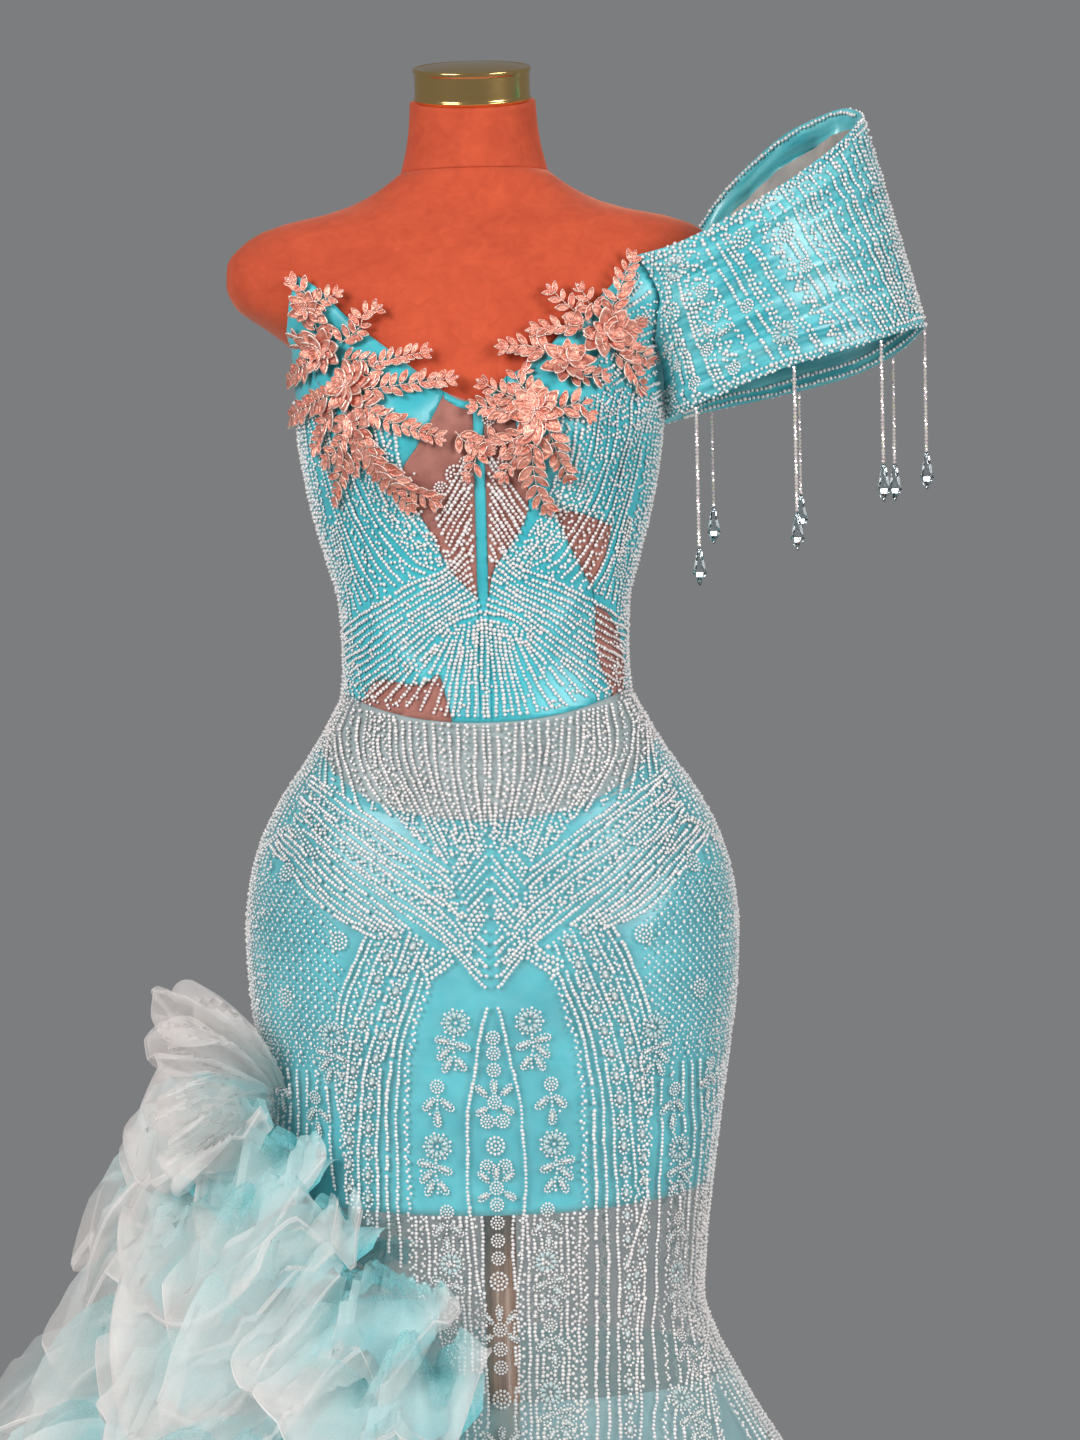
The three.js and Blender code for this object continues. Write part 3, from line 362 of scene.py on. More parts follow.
def neck_place(u, v):
    up = v * NECK[-1, 0]
    return neck_ring(up, read_table(NECK, 1, up), read_table(NECK, 2, up), u * 360)


bm = skin(64, 20, neck_place)
close_seam(bm)
neck = piece_of(bm, "neck", suede, "suede", "form_neck")

# ---------------------------------------------------------------- neck cap
# A short drum with rolled edges and a slightly domed top, spun from polished gold-plated brass.
# It closes the top of the neck and leans forward with it.
CAP_RADIUS = 0.0465
CAP_PROFILE = np.array([
    # along, radius out, height
    (0.0, -0.0012, 0.0), (0.1, 0.0, 0.0015), (0.2, 0.0004, 0.0028), (0.3, -0.0004, 0.0042),
    (0.4, -0.0005, 0.006), (0.6, -0.0005, 0.0225), (0.7, 0.0006, 0.0240), (0.8, 0.0006, 0.0262),
    (0.86, -0.0012, 0.0272), (0.92, -0.0030, 0.0266), (0.96, -0.018, 0.0288), (1.0, -0.0460, 0.0300),
])
gold = material("gold", (0.83, 0.55, 0.21), 0.13, Metallic=1.0)
scratches = noise_on(gold, 90, 8, (1, 1, 14))
shaded(gold, scratches, ((0, (0.08, 0.08, 0.08)), (1, (0.24, 0.24, 0.24))), "Roughness")


def cap_place(u, v):
    lean = math.radians(NECK_LEAN)
    radius = CAP_RADIUS + read_table(CAP_PROFILE, 1, v)
    height = read_table(CAP_PROFILE, 2, v)
    ring = neck_ring(NECK[-1, 0], radius, NECK_LEAN, u * 360)
    return ring + np.stack([0 * u, -height * math.sin(lean), height * math.cos(lean) + SEAM_GAP], axis=-1)


bm = skin(96, 56, cap_place)
close_seam(bm)
piece_of(bm, "cap", gold, "gold", "neck_cap")

# ---------------------------------------------------------------- stand
# A turned wooden pole, stained copper brown, stands in a round plate with a rounded rim.
# It carries the dress form, and the skirt hangs round it.
POLE_RADIUS, BASE_RADIUS, BASE_THICK = 0.013, 0.190, 0.012
wood = material("stained_wood", (0.45, 0.17, 0.07), 0.42, Coat_Weight=0.3)
grain = noise_on(wood, 340, 7, (1, 1, 0.04))
shaded(wood, grain, ((0.35, (0.26, 0.085, 0.03)), (0.7, (0.62, 0.26, 0.11))))


def turned(name, profile, segments, node):
    """A wooden piece: a profile of radius and height spun round the upright axis."""
    bm = bmesh.new()
    verts = [bm.verts.new((radius, 0, z)) for radius, z in profile]
    edges = [bm.edges.new(pair) for pair in zip(verts, verts[1:])]
    bmesh.ops.spin(bm, geom=verts + edges, cent=(0, 0, 0), axis=(0, 0, 1), angle=math.tau,
                   steps=segments, use_merge=True)
    bmesh.ops.remove_doubles(bm, verts=bm.verts, dist=1e-6)
    bmesh.ops.recalc_face_normals(bm, faces=bm.faces)
    piece_of(bm, name, wood, "stand_wood", node)


pole_top, pole_bottom = FORM_BOTTOM - SEAM_GAP, BASE_THICK + SEAM_GAP
turned("pole", [(0, pole_bottom), (POLE_RADIUS, pole_bottom), (POLE_RADIUS, 0.03), (POLE_RADIUS, 0.4),
                (POLE_RADIUS, pole_top), (0, pole_top)], 40, "stand_pole")
turned("base", [(0, 0), (BASE_RADIUS - 0.002, 0), (BASE_RADIUS, 0.002), (BASE_RADIUS, 0.0065),
                (BASE_RADIUS - 0.0018, 0.0097), (BASE_RADIUS - 0.006, BASE_THICK), (0.03, BASE_THICK),
                (0, BASE_THICK)], 96, "stand_base")

# ---------------------------------------------------------------- bodice
# Seven shaped panels of turquoise duchess satin: two fronts, a narrow strip between them, two sides
# and two backs. They are seamed with turned edges, lie over firm cups and end in raised peaks.
SATIN_OFFSET, SATIN_WALL, MESH_WALL, GRIP = 0.0026, 0.0018, 0.0012, 0.0007
WAIST_SEAM_FRONT, WAIST_SEAM_SIDE, BACK_TOP = 1.078, 1.101, 1.338
STRIP_HALF, SIDE_SEAM, BACK_EDGE = 4.5, 90, 178.5
SEAM_SINK = 0.0009
CELL = 0.0055                            # side of the cells that a flat panel is cut into
METRES_PER_DEGREE = 0.0022
GRIP_LOW, GRIP_RISE, GRIP_TURN, GRIP_SPREAD = 1.316, 0.022, 100, 20
BACK_CREASES_TOP, BACK_CREASES_FADE = 1.33, 0.03

# Soft folds of the satin: from, to, half width and height, in millimetres on the front.
BODICE_CREASES = np.array([
    # x, z, x, z, wide, high
    (136, 1372, 66, 1322, 6, 3.2), (140, 1352, 84, 1300, 5, -2.0), (138, 1338, 92, 1288, 5, 2.4),
    (128, 1318, 74, 1262, 4, 2.2), (96, 1398, 40, 1338, 6, 2.6), (-132, 1400, -52, 1336, 6, 2.8),
    (-134, 1366, -88, 1302, 5, 2.2), (-128, 1340, -104, 1262, 5, -1.8), (-120, 1330, -92, 1230, 4, 2.2),
    (-64, 1268, -40, 1204, 3, 1.8), (-84, 1256, -58, 1186, 4, 2.0), (46, 1240, 24, 1180, 3, 1.6),
    (88, 1196, 30, 1120, 4, 1.8), (-92, 1180, -40, 1100, 4, 1.6), (70, 1160, 20, 1096, 3, 1.5),
    (-70, 1140, -22, 1090, 3, 1.5),
]) / 1000


def creases(table, x, z):
    """Height of the creases at points x, z: each is a soft ridge, or a trough where it is negative."""
    total = np.zeros(np.broadcast(x, z).shape)
    for x0, z0, x1, z1, wide, high in table:
        run, rise = x1 - x0, z1 - z0
        length = math.hypot(run, rise)
        share = ((x - x0) * run + (z - z0) * rise) / length ** 2
        away = ((x - x0) * rise - (z - z0) * run) / length
        taper = np.sin(np.pi * np.clip(share, 0, 1)) ** 0.7
        total += high * taper * np.exp(-(away / wide) ** 2)
    return total


def bodice_out(turn, z):
    """How far out the satin's face lies: it grips the form at the top of the back."""
    grip = ease((z - GRIP_LOW) / GRIP_RISE) * ease((np.abs(turn) - GRIP_TURN) / GRIP_SPREAD)
    level = SATIN_OFFSET + (GRIP - SATIN_OFFSET) * grip + SATIN_WALL
    side = np.where(np.cos(np.radians(turn)) >= 0, 1, -1)
    x = figure_point(turn, z)[..., 0] * side
    shown = ease((BACK_CREASES_TOP - z) / BACK_CREASES_FADE + side + 1)
    return level + creases(BODICE_CREASES, x, z) * shown


def turn_at(x, z, back=False):
    """The turn at which the figure is x wide of its middle."""
    share = np.clip(np.abs(x) / read_table(FIGURE, 1, z), 0, 1) ** (ROUNDNESS / 2)
    turn = np.degrees(np.arcsin(share)) * np.sign(x)
    return 180 - turn if back else turn


def curve(points, steps=5):
    """A smooth line through a few points."""
    points = np.array(points, float)
    ends = np.vstack([2 * points[0] - points[1], points, 2 * points[-1] - points[-2]])
    line = []
    for a, b, c, d in zip(ends, ends[1:], ends[2:], ends[3:]):
        for t in np.arange(steps) / steps:
            line.append(b + 0.5 * t * (c - a + t * (2 * a - 5 * b + 4 * c - d + t * (3 * (b - c) + d - a))))
    return np.array(line + [points[-1]])


def front_line(*points):
    """A smooth line given in millimetres on the front, as turns and heights."""
    line = curve(points) / 1000
    return np.stack([turn_at(line[:, 0], line[:, 1]), line[:, 1]], axis=-1)


def waist_seam(turn):
    return WAIST_SEAM_FRONT + (WAIST_SEAM_SIDE - WAIST_SEAM_FRONT) * np.sin(np.radians(turn)) ** 2


def waist_line(start, end):
    turns = np.linspace(start, end, max(3, round(abs(end - start) / 4)))
    return np.stack([turns, waist_seam(turns)], axis=-1)


def strip_edge(side, low, high):
    return front_line(*((side * STRIP_HALF, z) for z in (low, (low + high) / 2, high)))


def outline(*lines):
    """Joins lines end to end into a closed outline, without the points that they share."""
    return np.vstack([line[:-1] for line in lines])


def flip(line):
    return line[::-1]


LOBE_LEFT = front_line((-4.5, 1176), (-24, 1198), (-42, 1234), (-62, 1268), (-45, 1300), (-26, 1334))
LOBE_RIGHT = front_line((4.5, 1176), (9, 1198), (28, 1226), (37, 1250), (34, 1290), (22, 1345))
NECK_LEFT = front_line((-26, 1334), (-46, 1350), (-74, 1374), (-99, 1396), (-121, 1418), (-138, 1429))
NECK_RIGHT = front_line((22, 1345), (46, 1358), (70, 1384), (101, 1412), (116, 1427), (124, 1440))
ARM_LEFT_HIGH = front_line((-138, 1429), (-144, 1412), (-147, 1394))
ARM_RIGHT_HIGH = front_line((124, 1440), (138, 1420), (146, 1396))
ARM_LEFT_LOW = curve([ARM_LEFT_HIGH[-1], (-76, 1.376), (-SIDE_SEAM, 1.362)])
ARM_RIGHT_LOW = curve([ARM_RIGHT_HIGH[-1], (76, 1.376), (SIDE_SEAM, 1.362)])
PRINCESS_LEFT = front_line((-95, 1096), (-88, 1140), (-86, 1180), (-92, 1230), (-102, 1280), (-116, 1330),
                           (-130, 1362), (-147, 1394))
RIGHT_LOW = front_line((97, 1097), (85, 1132), (85, 1168))
RIGHT_JOIN = front_line((85, 1168), (84, 1176), (83, 1182))
RIGHT_INNER = front_line((83, 1182), (68, 1214), (55, 1246))
RIGHT_TOP = front_line((55, 1246), (78, 1240), (100, 1230))
RIGHT_OUTER = front_line((83, 1182), (93, 1205), (100, 1230))
RIGHT_HIGH = front_line((100, 1230), (108, 1280), (120, 1330), (133, 1366), (146, 1396))
RIGHT_LOW_OUTER = front_line((106, 1100), (105, 1134), (97, 1158), (85, 1168))
LEFT_LOW_TOP = front_line((-95, 1096), (-82, 1112), (-50, 1108), (-36, 1116), (-30, 1098), (-26, 1079.2))


def side_line(side):
    return np.array([(side * SIDE_SEAM, z) for z in np.linspace(waist_seam(SIDE_SEAM), 1.362, 9)])


def back_top(side):
    return curve([(side * turn, z) for turn, z in
                  ((SIDE_SEAM, 1.362), (104, 1.358), (125, 1.350), (150, 1.341), (BACK_EDGE, BACK_TOP))])


def centre_back(side):
    return np.array([(side * BACK_EDGE, z) for z in np.linspace(BACK_TOP, waist_seam(BACK_EDGE), 9)])


PANELS = {
    "bodice_front_left": outline(
        LEFT_LOW_TOP, waist_line(LEFT_LOW_TOP[-1, 0], strip_edge(-1, 1078.1, 1176)[0, 0]),
        strip_edge(-1, 1078.1, 1176), LOBE_LEFT, NECK_LEFT, ARM_LEFT_HIGH, flip(PRINCESS_LEFT)),
    "bodice_front_right": outline(
        waist_line(strip_edge(1, 1078.1, 1176)[0, 0], RIGHT_LOW[0, 0]), RIGHT_LOW, RIGHT_JOIN, RIGHT_INNER,
        RIGHT_TOP, RIGHT_HIGH, flip(ARM_RIGHT_HIGH), flip(NECK_RIGHT), flip(LOBE_RIGHT),
        flip(strip_edge(1, 1078.1, 1176))),
    "bodice_centre_strip": outline(
        strip_edge(1, 1078.1, 1327), strip_edge(1, 1327, 1327.1), flip(strip_edge(-1, 1078.1, 1327)),
        strip_edge(-1, 1078.1, 1078)),
    "bodice_side_left": outline(
        waist_line(-SIDE_SEAM, PRINCESS_LEFT[0, 0]), PRINCESS_LEFT, ARM_LEFT_LOW, flip(side_line(-1))),
    "bodice_side_right": outline(
        waist_line(RIGHT_LOW_OUTER[0, 0], SIDE_SEAM), side_line(1), flip(ARM_RIGHT_LOW), flip(RIGHT_HIGH),
        flip(RIGHT_OUTER), flip(RIGHT_JOIN), flip(RIGHT_LOW_OUTER)),
    "bodice_back_right": outline(
        waist_line(SIDE_SEAM, BACK_EDGE), flip(centre_back(1)), flip(back_top(1)), flip(side_line(1))),
    "bodice_back_left": outline(
        waist_line(-BACK_EDGE, -SIDE_SEAM), side_line(-1), back_top(-1), centre_back(-1)),
}


def cut_panel(edge, cell=CELL):
    """Cuts a flat pattern piece of turns and heights into cells, with its own UV map."""
    bm = bmesh.new()
    face = bm.faces.new([bm.verts.new((turn * METRES_PER_DEGREE, z, 0)) for turn, z in edge])
    face.normal_update()
    if face.normal.z < 0:
        face.normal_flip()
    low, high = np.min(edge, axis=0), np.max(edge, axis=0)
    for axis, scale in enumerate((METRES_PER_DEGREE, 1)):
        start, end = low[axis] * scale, high[axis] * scale
        for i in range(1, int((end - start) / cell) + 1):
            place, normal = [0, 0, 0], [0, 0, 0]
            place[axis], normal[axis] = start + i * cell, 1
            geometry = bm.verts[:] + bm.edges[:] + bm.faces[:]
            bmesh.ops.bisect_plane(bm, geom=geometry, dist=1e-6, plane_co=place, plane_no=normal)
    layer = bm.loops.layers.uv.new("UVMap")
    for face in bm.faces:
        for loop in face.loops:
            loop[layer].uv = loop.vert.co.xy * 10
    return bm


def lay_panel(bm, out_at, sink=SEAM_SINK):
    """Lays a cut panel on the figure, its seam edges turned in a little."""
    flat = np.array([vert.co for vert in bm.verts])
    turn, z = flat[:, 0] / METRES_PER_DEGREE, flat[:, 1]
    on_edge = np.array([vert.is_boundary for vert in bm.verts])
    points = off_figure(turn, z, out_at(turn, z) - sink * on_edge)
    for vert, point in zip(bm.verts, points):
        vert.co = point
    return bm


def thicken(piece, thickness):
    """Gives a sheet its thickness, inwards from the face that shows."""
    wall = piece.modifiers.new("wall", "SOLIDIFY")
    wall.thickness = thickness
    wall.offset = -1
    return piece


def woven(finish, scale, strength, distance=0.0002, coordinates="UV"):
    """Adds a fine weave of warp and weft threads to a material as bump, on the piece's own UV map."""
    nodes, links, _ = tree_of(finish)
    source = nodes.new("ShaderNodeTexCoord").outputs[coordinates]
    cross = nodes.new("ShaderNodeMath")
    cross.operation = "MULTIPLY"
    for number, direction in enumerate(("X", "Y")):
        threads = nodes.new("ShaderNodeTexWave")
        threads.bands_direction = direction
        threads.inputs["Scale"].default_value = scale
        threads.inputs["Distortion"].default_value = 0.6
        links.new(source, threads.inputs["Vector"])
        links.new(threads.outputs["Fac"], cross.inputs[number])
    raised(finish, cross.outputs["Value"], strength, distance)
    return finish


def mottled(finish, dark, light, scale, low=0.35, high=0.65, stretch=None):
    """Varies a material's colour between two shades with soft noise, or with streaks on its UV map."""
    cloud = noise_on(finish, scale, 5, stretch, "UV" if stretch else "Object")
    shaded(finish, cloud, ((low, dark), (high, light)))
    return finish


satin = material("satin", (0.06, 0.5, 0.58), 0.30, Sheen_Weight=0.25, Specular_IOR_Level=0.6)
woven(mottled(satin, (0.035, 0.43, 0.50), (0.07, 0.57, 0.645), 22), 260, 0.12)

PANEL_CUTS = {
    # the flat pattern piece: width, length, area
    "bodice_front_left": (0.165, 0.355, 0.0257), "bodice_front_right": (0.150, 0.365, 0.0308),
    "bodice_centre_strip": (0.0115, 0.250, 0.00255), "bodice_side_left": (0.090, 0.300, 0.0198),
    "bodice_side_right": (0.090, 0.300, 0.0167), "bodice_back_right": (0.190, 0.265, 0.0449),
    "bodice_back_left": (0.190, 0.265, 0.0449),
}
for name, edge in PANELS.items():
    bm = lay_panel(cut_panel(edge), bodice_out)
    panel = thicken(piece_of(bm, f"{name}_satin", satin, "satin", name), SATIN_WALL * 0.8)
    width, length, area = PANEL_CUTS[name]

# The placket is a folded strip that hides the hooks and eyes at centre back.
PLACKET_HALF = 1.5
placket_edge = np.array([(180 - PLACKET_HALF, WAIST_SEAM_FRONT), (180 + PLACKET_HALF, WAIST_SEAM_FRONT),
                         (180 + PLACKET_HALF, BACK_TOP), (180 - PLACKET_HALF, BACK_TOP)])
bm = lay_panel(cut_panel(placket_edge, 0.004), lambda turn, z: bodice_out(turn, z) + 0.0004)
placket = thicken(piece_of(bm, "placket", satin, "satin", "back_placket"), SATIN_WALL * 0.8)

# ---------------------------------------------------------------- mesh insets
# Gaps between the satin panels are filled with fine nude power mesh, stretched flat.
# Each inset is seamed to the turned edges of the satin round it.
INSETS = {
    "inset_centre_left": outline(flip(strip_edge(-1, 1176, 1327)), LOBE_LEFT,
                                 np.array([LOBE_LEFT[-1], strip_edge(-1, 1176, 1327)[-1]])),
    "inset_centre_right": outline(strip_edge(1, 1176, 1327),
                                  np.array([strip_edge(1, 1176, 1327)[-1], LOBE_RIGHT[-1]]),
                                  flip(LOBE_RIGHT)),
    "inset_right_upper": outline(RIGHT_OUTER, flip(RIGHT_TOP), flip(RIGHT_INNER)),
    "inset_right_lower": outline(waist_line(RIGHT_LOW[0, 0], RIGHT_LOW_OUTER[0, 0]), RIGHT_LOW_OUTER,
                                 flip(RIGHT_LOW)),
    "inset_left_lower": outline(waist_line(LEFT_LOW_TOP[0, 0], LEFT_LOW_TOP[-1, 0]), flip(LEFT_LOW_TOP)),
}
nude = material("nude_mesh", (0.36, 0.13, 0.10), 0.62, Sheen_Weight=0.3)
woven(mottled(nude, (0.36, 0.125, 0.095), (0.50, 0.19, 0.145), 60), 120, 0.5)
INSET_CUTS = {
    # width, length, area
    "inset_centre_left": (0.062, 0.155, 0.0060), "inset_centre_right": (0.042, 0.155, 0.0038),
    "inset_right_upper": (0.047, 0.067, 0.0017), "inset_right_lower": (0.032, 0.070, 0.0020),
    "inset_left_lower": (0.075, 0.040, 0.0020),
}
for name, edge in INSETS.items():
    bm = lay_panel(cut_panel(edge), lambda turn, z: SATIN_OFFSET + MESH_WALL + 0 * z, 0)
    inset = thicken(piece_of(bm, f"{name}_mesh", nude, "nude_mesh", name), MESH_WALL * 0.7)
    width, length, area = INSET_CUTS[name]

# A folded strip of satin binds the mesh at the bottom of the neckline.
BINDING_WIDE = 6
BINDING = [(-27, 1335), (-16, 1329), (-5, 1327), (5, 1328.5), (14, 1336), (23, 1346)]
binding_edge = np.vstack([front_line(*BINDING),
                          flip(front_line(*((x, z - BINDING_WIDE) for x, z in BINDING)))])
bm = lay_panel(cut_panel(binding_edge, 0.003), lambda turn, z: bodice_out(turn, z) + 0.0005)
binding = thicken(piece_of(bm, "neck_binding", satin, "satin"), SATIN_WALL * 0.8)

# ---------------------------------------------------------------- skirts
# A short satin skirt lies under a long skirt of sheer beaded tulle, cut in three gores and flared
# below a seam at the knees. The satin hangs from the tulle; a doubled tulle yoke fills the waist.
TULLE_OFFSET, TULLE_WALL, PETTICOAT_OFFSET = 0.006, 0.0014, -0.009
SATIN_HEM, SATIN_TOP_FRONT, SATIN_TOP_SIDE, HEM = 0.699, 1.003, 1.058, 0.005
FLARE_FOLDS, FLARE_FOLD_DEPTH = 31, 0.006
PETTICOAT_FOLDS, PETTICOAT_FOLD_DEPTH = 23, 0.005
HELD_HEIGHT, HELD_OUT = 0.02, 0.0011     # where the satin's top edge is sewn to the tulle
WAIST_EASE, FLARE_EASE, PETTICOAT_EASE = 0.03, 0.4, 0.12
PETTICOAT_BELOW, PETTICOAT_SHORT = 0.006, 0.018
SKIRT_CREASES = np.array([
    # x, z, x, z, wide, high
    (146, 1030, 62, 972, 5, 2.6), (150, 1008, 70, 940, 6, 3.0), (154, 984, 96, 926, 4, -2.0),
    (132, 1040, 58, 992, 4, 2.0), (158, 962, 104, 900, 6, 2.2), (-148, 1024, -108, 988, 5, 2.4),
    (-150, 1004, -88, 952, 5, 1.8), (-140, 1034, -70, 990, 4, 1.8), (-160, 980, -110, 930, 5, -1.6),
    (120, 900, 168, 800, 12, 1.2), (-130, 880, -166, 790, 12, 1.2), (40, 860, 48, 740, 14, 0.9),
    (-48, 870, -40, 760, 14, 0.9),
]) / 1000


def satin_top(turn):
    return SATIN_TOP_FRONT + (SATIN_TOP_SIDE - SATIN_TOP_FRONT) * np.sin(np.radians(turn)) ** 2


def satin_hem(turn):
    return SATIN_HEM + 0.008 * np.sin(np.radians(turn)) ** 2


def skirt_creases(turn, z):
    side = np.where(np.cos(np.radians(turn)) >= 0, 1, -1)
    return creases(SKIRT_CREASES, figure_point(turn, z)[..., 0] * side, z)


def satin_skirt_out(turn, z):
    held = ease((z - satin_top(turn) + HELD_HEIGHT) / HELD_HEIGHT) * HELD_OUT
    return SATIN_OFFSET + SATIN_WALL + held + np.clip(skirt_creases(turn, z), -0.001, 0.0016)


def tulle_out(turn, z):
    """The tulle leaves the waist seam level with the bodice and clears the satin below it."""
    start = SATIN_OFFSET + SATIN_WALL
    full = TULLE_OFFSET + TULLE_WALL / 2
    share = ease((waist_seam(turn) - z) / WAIST_EASE)
    return start + (full - start) * share + skirt_creases(turn, z) * 0.8


def band(columns, rows, start, end, low_edge, high_edge, out_at):
    """A sheet round the figure between two level edges."""
    def place(u, v):
        turn = start + (end - start) * u
        z = low_edge(turn) + (high_edge(turn) - low_edge(turn)) * v
        return off_figure(turn, z, out_at(turn, z))
    return skin(columns, rows, place)


GORES = [
    # name, from, to, columns, then width and area when cut flat: satin, tulle, flare
    ("front", -SIDE_SEAM, SIDE_SEAM, 84, (0.58, 0.162), (0.60, 0.254), (1.45, 0.594)),
    ("back_right", SIDE_SEAM, 180, 44, (0.32, 0.088), (0.33, 0.137), (0.80, 0.331)),
    ("back_left", 180, 270, 44, (0.32, 0.088), (0.33, 0.137), (0.80, 0.331)),
]
for name, start, end, columns, (width, area), _, _ in GORES:
    bm = band(columns, 48, start, end, satin_hem, satin_top, satin_skirt_out)
    gore = thicken(piece_of(bm, f"skirt_satin_{name}", satin, "satin", f"satin_skirt_{name}"), 0.0012)

NET_WEAVE, NET_BUMP = 190, 0.4
sheer = material("beaded_tulle", (0.62, 0.76, 0.77), 0.5, Alpha=0.13, Sheen_Weight=0.2)
woven(mottled(sheer, (0.52, 0.70, 0.72), (0.76, 0.88, 0.88), 90), NET_WEAVE, NET_BUMP)
yoke_net = material("yoke_tulle", (0.42, 0.52, 0.53), 0.6, Alpha=0.8, Sheen_Weight=0.3)
woven(mottled(yoke_net, (0.33, 0.42, 0.43), (0.50, 0.60, 0.61), 30), NET_WEAVE, NET_BUMP)


def knee_seam(turn):
    return KNEE_SEAM + 0 * turn


def hem(turn):
    return HEM + 0 * turn


def flare_out(turn, z):
    """The flare hangs in further narrow folds that deepen towards the hem."""
    share = ease((KNEE_SEAM - z) / FLARE_EASE)
    angle = np.radians(turn)
    folds = np.sin(angle * FLARE_FOLDS + 2 * np.sin(angle * 3))
    return TULLE_OFFSET + TULLE_WALL / 2 + share * FLARE_FOLD_DEPTH * folds


for name, start, end, columns, _, (width, area), (flare_width, flare_area) in GORES:
    bm = band(columns, 76, start, end, knee_seam, waist_seam, tulle_out)
    gore = piece_of(bm, f"tulle_skirt_{name}", sheer, "beaded_tulle", f"overskirt_{name}")
    bm = band(columns * 2, 40, start, end, hem, knee_seam, flare_out)
    flare = piece_of(bm, f"tulle_flare_{name}", sheer, "beaded_tulle", f"flare_{name}")
YOKE_LAP = 0.008
bm = band(168, 16, -180, 180, lambda turn: satin_top(turn) - YOKE_LAP, waist_seam,
          lambda turn, z: tulle_out(turn, z) - 0.0016)
bmesh.ops.remove_doubles(bm, verts=bm.verts, dist=1e-5)
yoke = piece_of(bm, "waist_yoke", yoke_net, "beaded_tulle")

# Stiff aqua tulle stands inside the flare and shows through it.
stiff_net = material("stiff_tulle", (0.30, 0.66, 0.70), 0.6, Alpha=0.42, Sheen_Weight=0.3)
woven(mottled(stiff_net, (0.20, 0.58, 0.63), (0.42, 0.74, 0.77), 12), NET_WEAVE, NET_BUMP)


def petticoat_out(turn, z):
    share = ease((KNEE_SEAM - 0.01 - z) / PETTICOAT_EASE)
    held = TULLE_OFFSET - TULLE_WALL - SEAM_GAP
    folds = share * PETTICOAT_FOLD_DEPTH * np.sin(np.radians(turn) * PETTICOAT_FOLDS)
    return held + (PETTICOAT_OFFSET - held) * share + folds


def petticoat_hem(turn):
    return HEM + PETTICOAT_SHORT + 0 * turn


def petticoat_top(turn):
    return KNEE_SEAM - PETTICOAT_BELOW + 0 * turn


for name, start, end, width, area in (("front", -SIDE_SEAM, SIDE_SEAM, 1.35, 0.533),
                                      ("back", SIDE_SEAM, 360 - SIDE_SEAM, 1.50, 0.597)):
    bm = band(150, 36, start, end, petticoat_hem, petticoat_top, petticoat_out)
    net = piece_of(bm, f"petticoat_net_{name}", stiff_net, "glitter_tulle", f"petticoat_{name}")

# ---------------------------------------------------------------- off-shoulder sleeve
# One wide band of satin leaves the bodice's right front, turns back at its outer end and returns to
# the back. It is gathered a little lengthwise; inside its back half a mesh lining shows.
SLEEVE = np.array([
    # station, x low, y low, z low, x top, y top, z top
    (0.00, 147, -10, 1313, 132, -66, 1438), (0.12, 174, -48, 1324, 160, -78, 1448),
    (0.28, 235, -60, 1348, 215, -76, 1476), (0.42, 300, -46, 1366, 265, -54, 1508),
    (0.50, 342, -18, 1379, 298, -24, 1536), (0.56, 357, 8, 1382, 309, 6, 1552),
    (0.63, 342, 32, 1367, 297, 32, 1560), (0.73, 300, 56, 1346, 262, 58, 1549),
    (0.84, 235, 80, 1331, 215, 88, 1514), (0.93, 180, 76, 1320, 168, 106, 1455),
    (1.00, 149, 12, 1311, 118, 78, 1356),
]) * (1, .001, .001, .001, .001, .001, .001)
SLEEVE_TURN, SLEEVE_WALL, SLEEVE_BULGE, SLEEVE_EASE = 0.56, 0.002, 0.005, 0.14
CREASES_FADE = 0.05                      # in stations, from each sewn end
SEWN_FRONT = np.array([
    # share, turn, z
    (0, 82, 1.313), (0.25, 78, 1.340), (0.45, 69, 1.366), (0.7, 50, 1.397), (0.86, 41.5, 1.418),
    (1, 36, 1.437),
])
SEWN_BACK = np.array([(0, 93, 1.311), (0.3, 97, 1.330), (0.6, 106, 1.346), (1, 126, 1.345)])
SEWN_OUT = SATIN_OFFSET + SATIN_WALL + SLEEVE_WALL + 0.0008
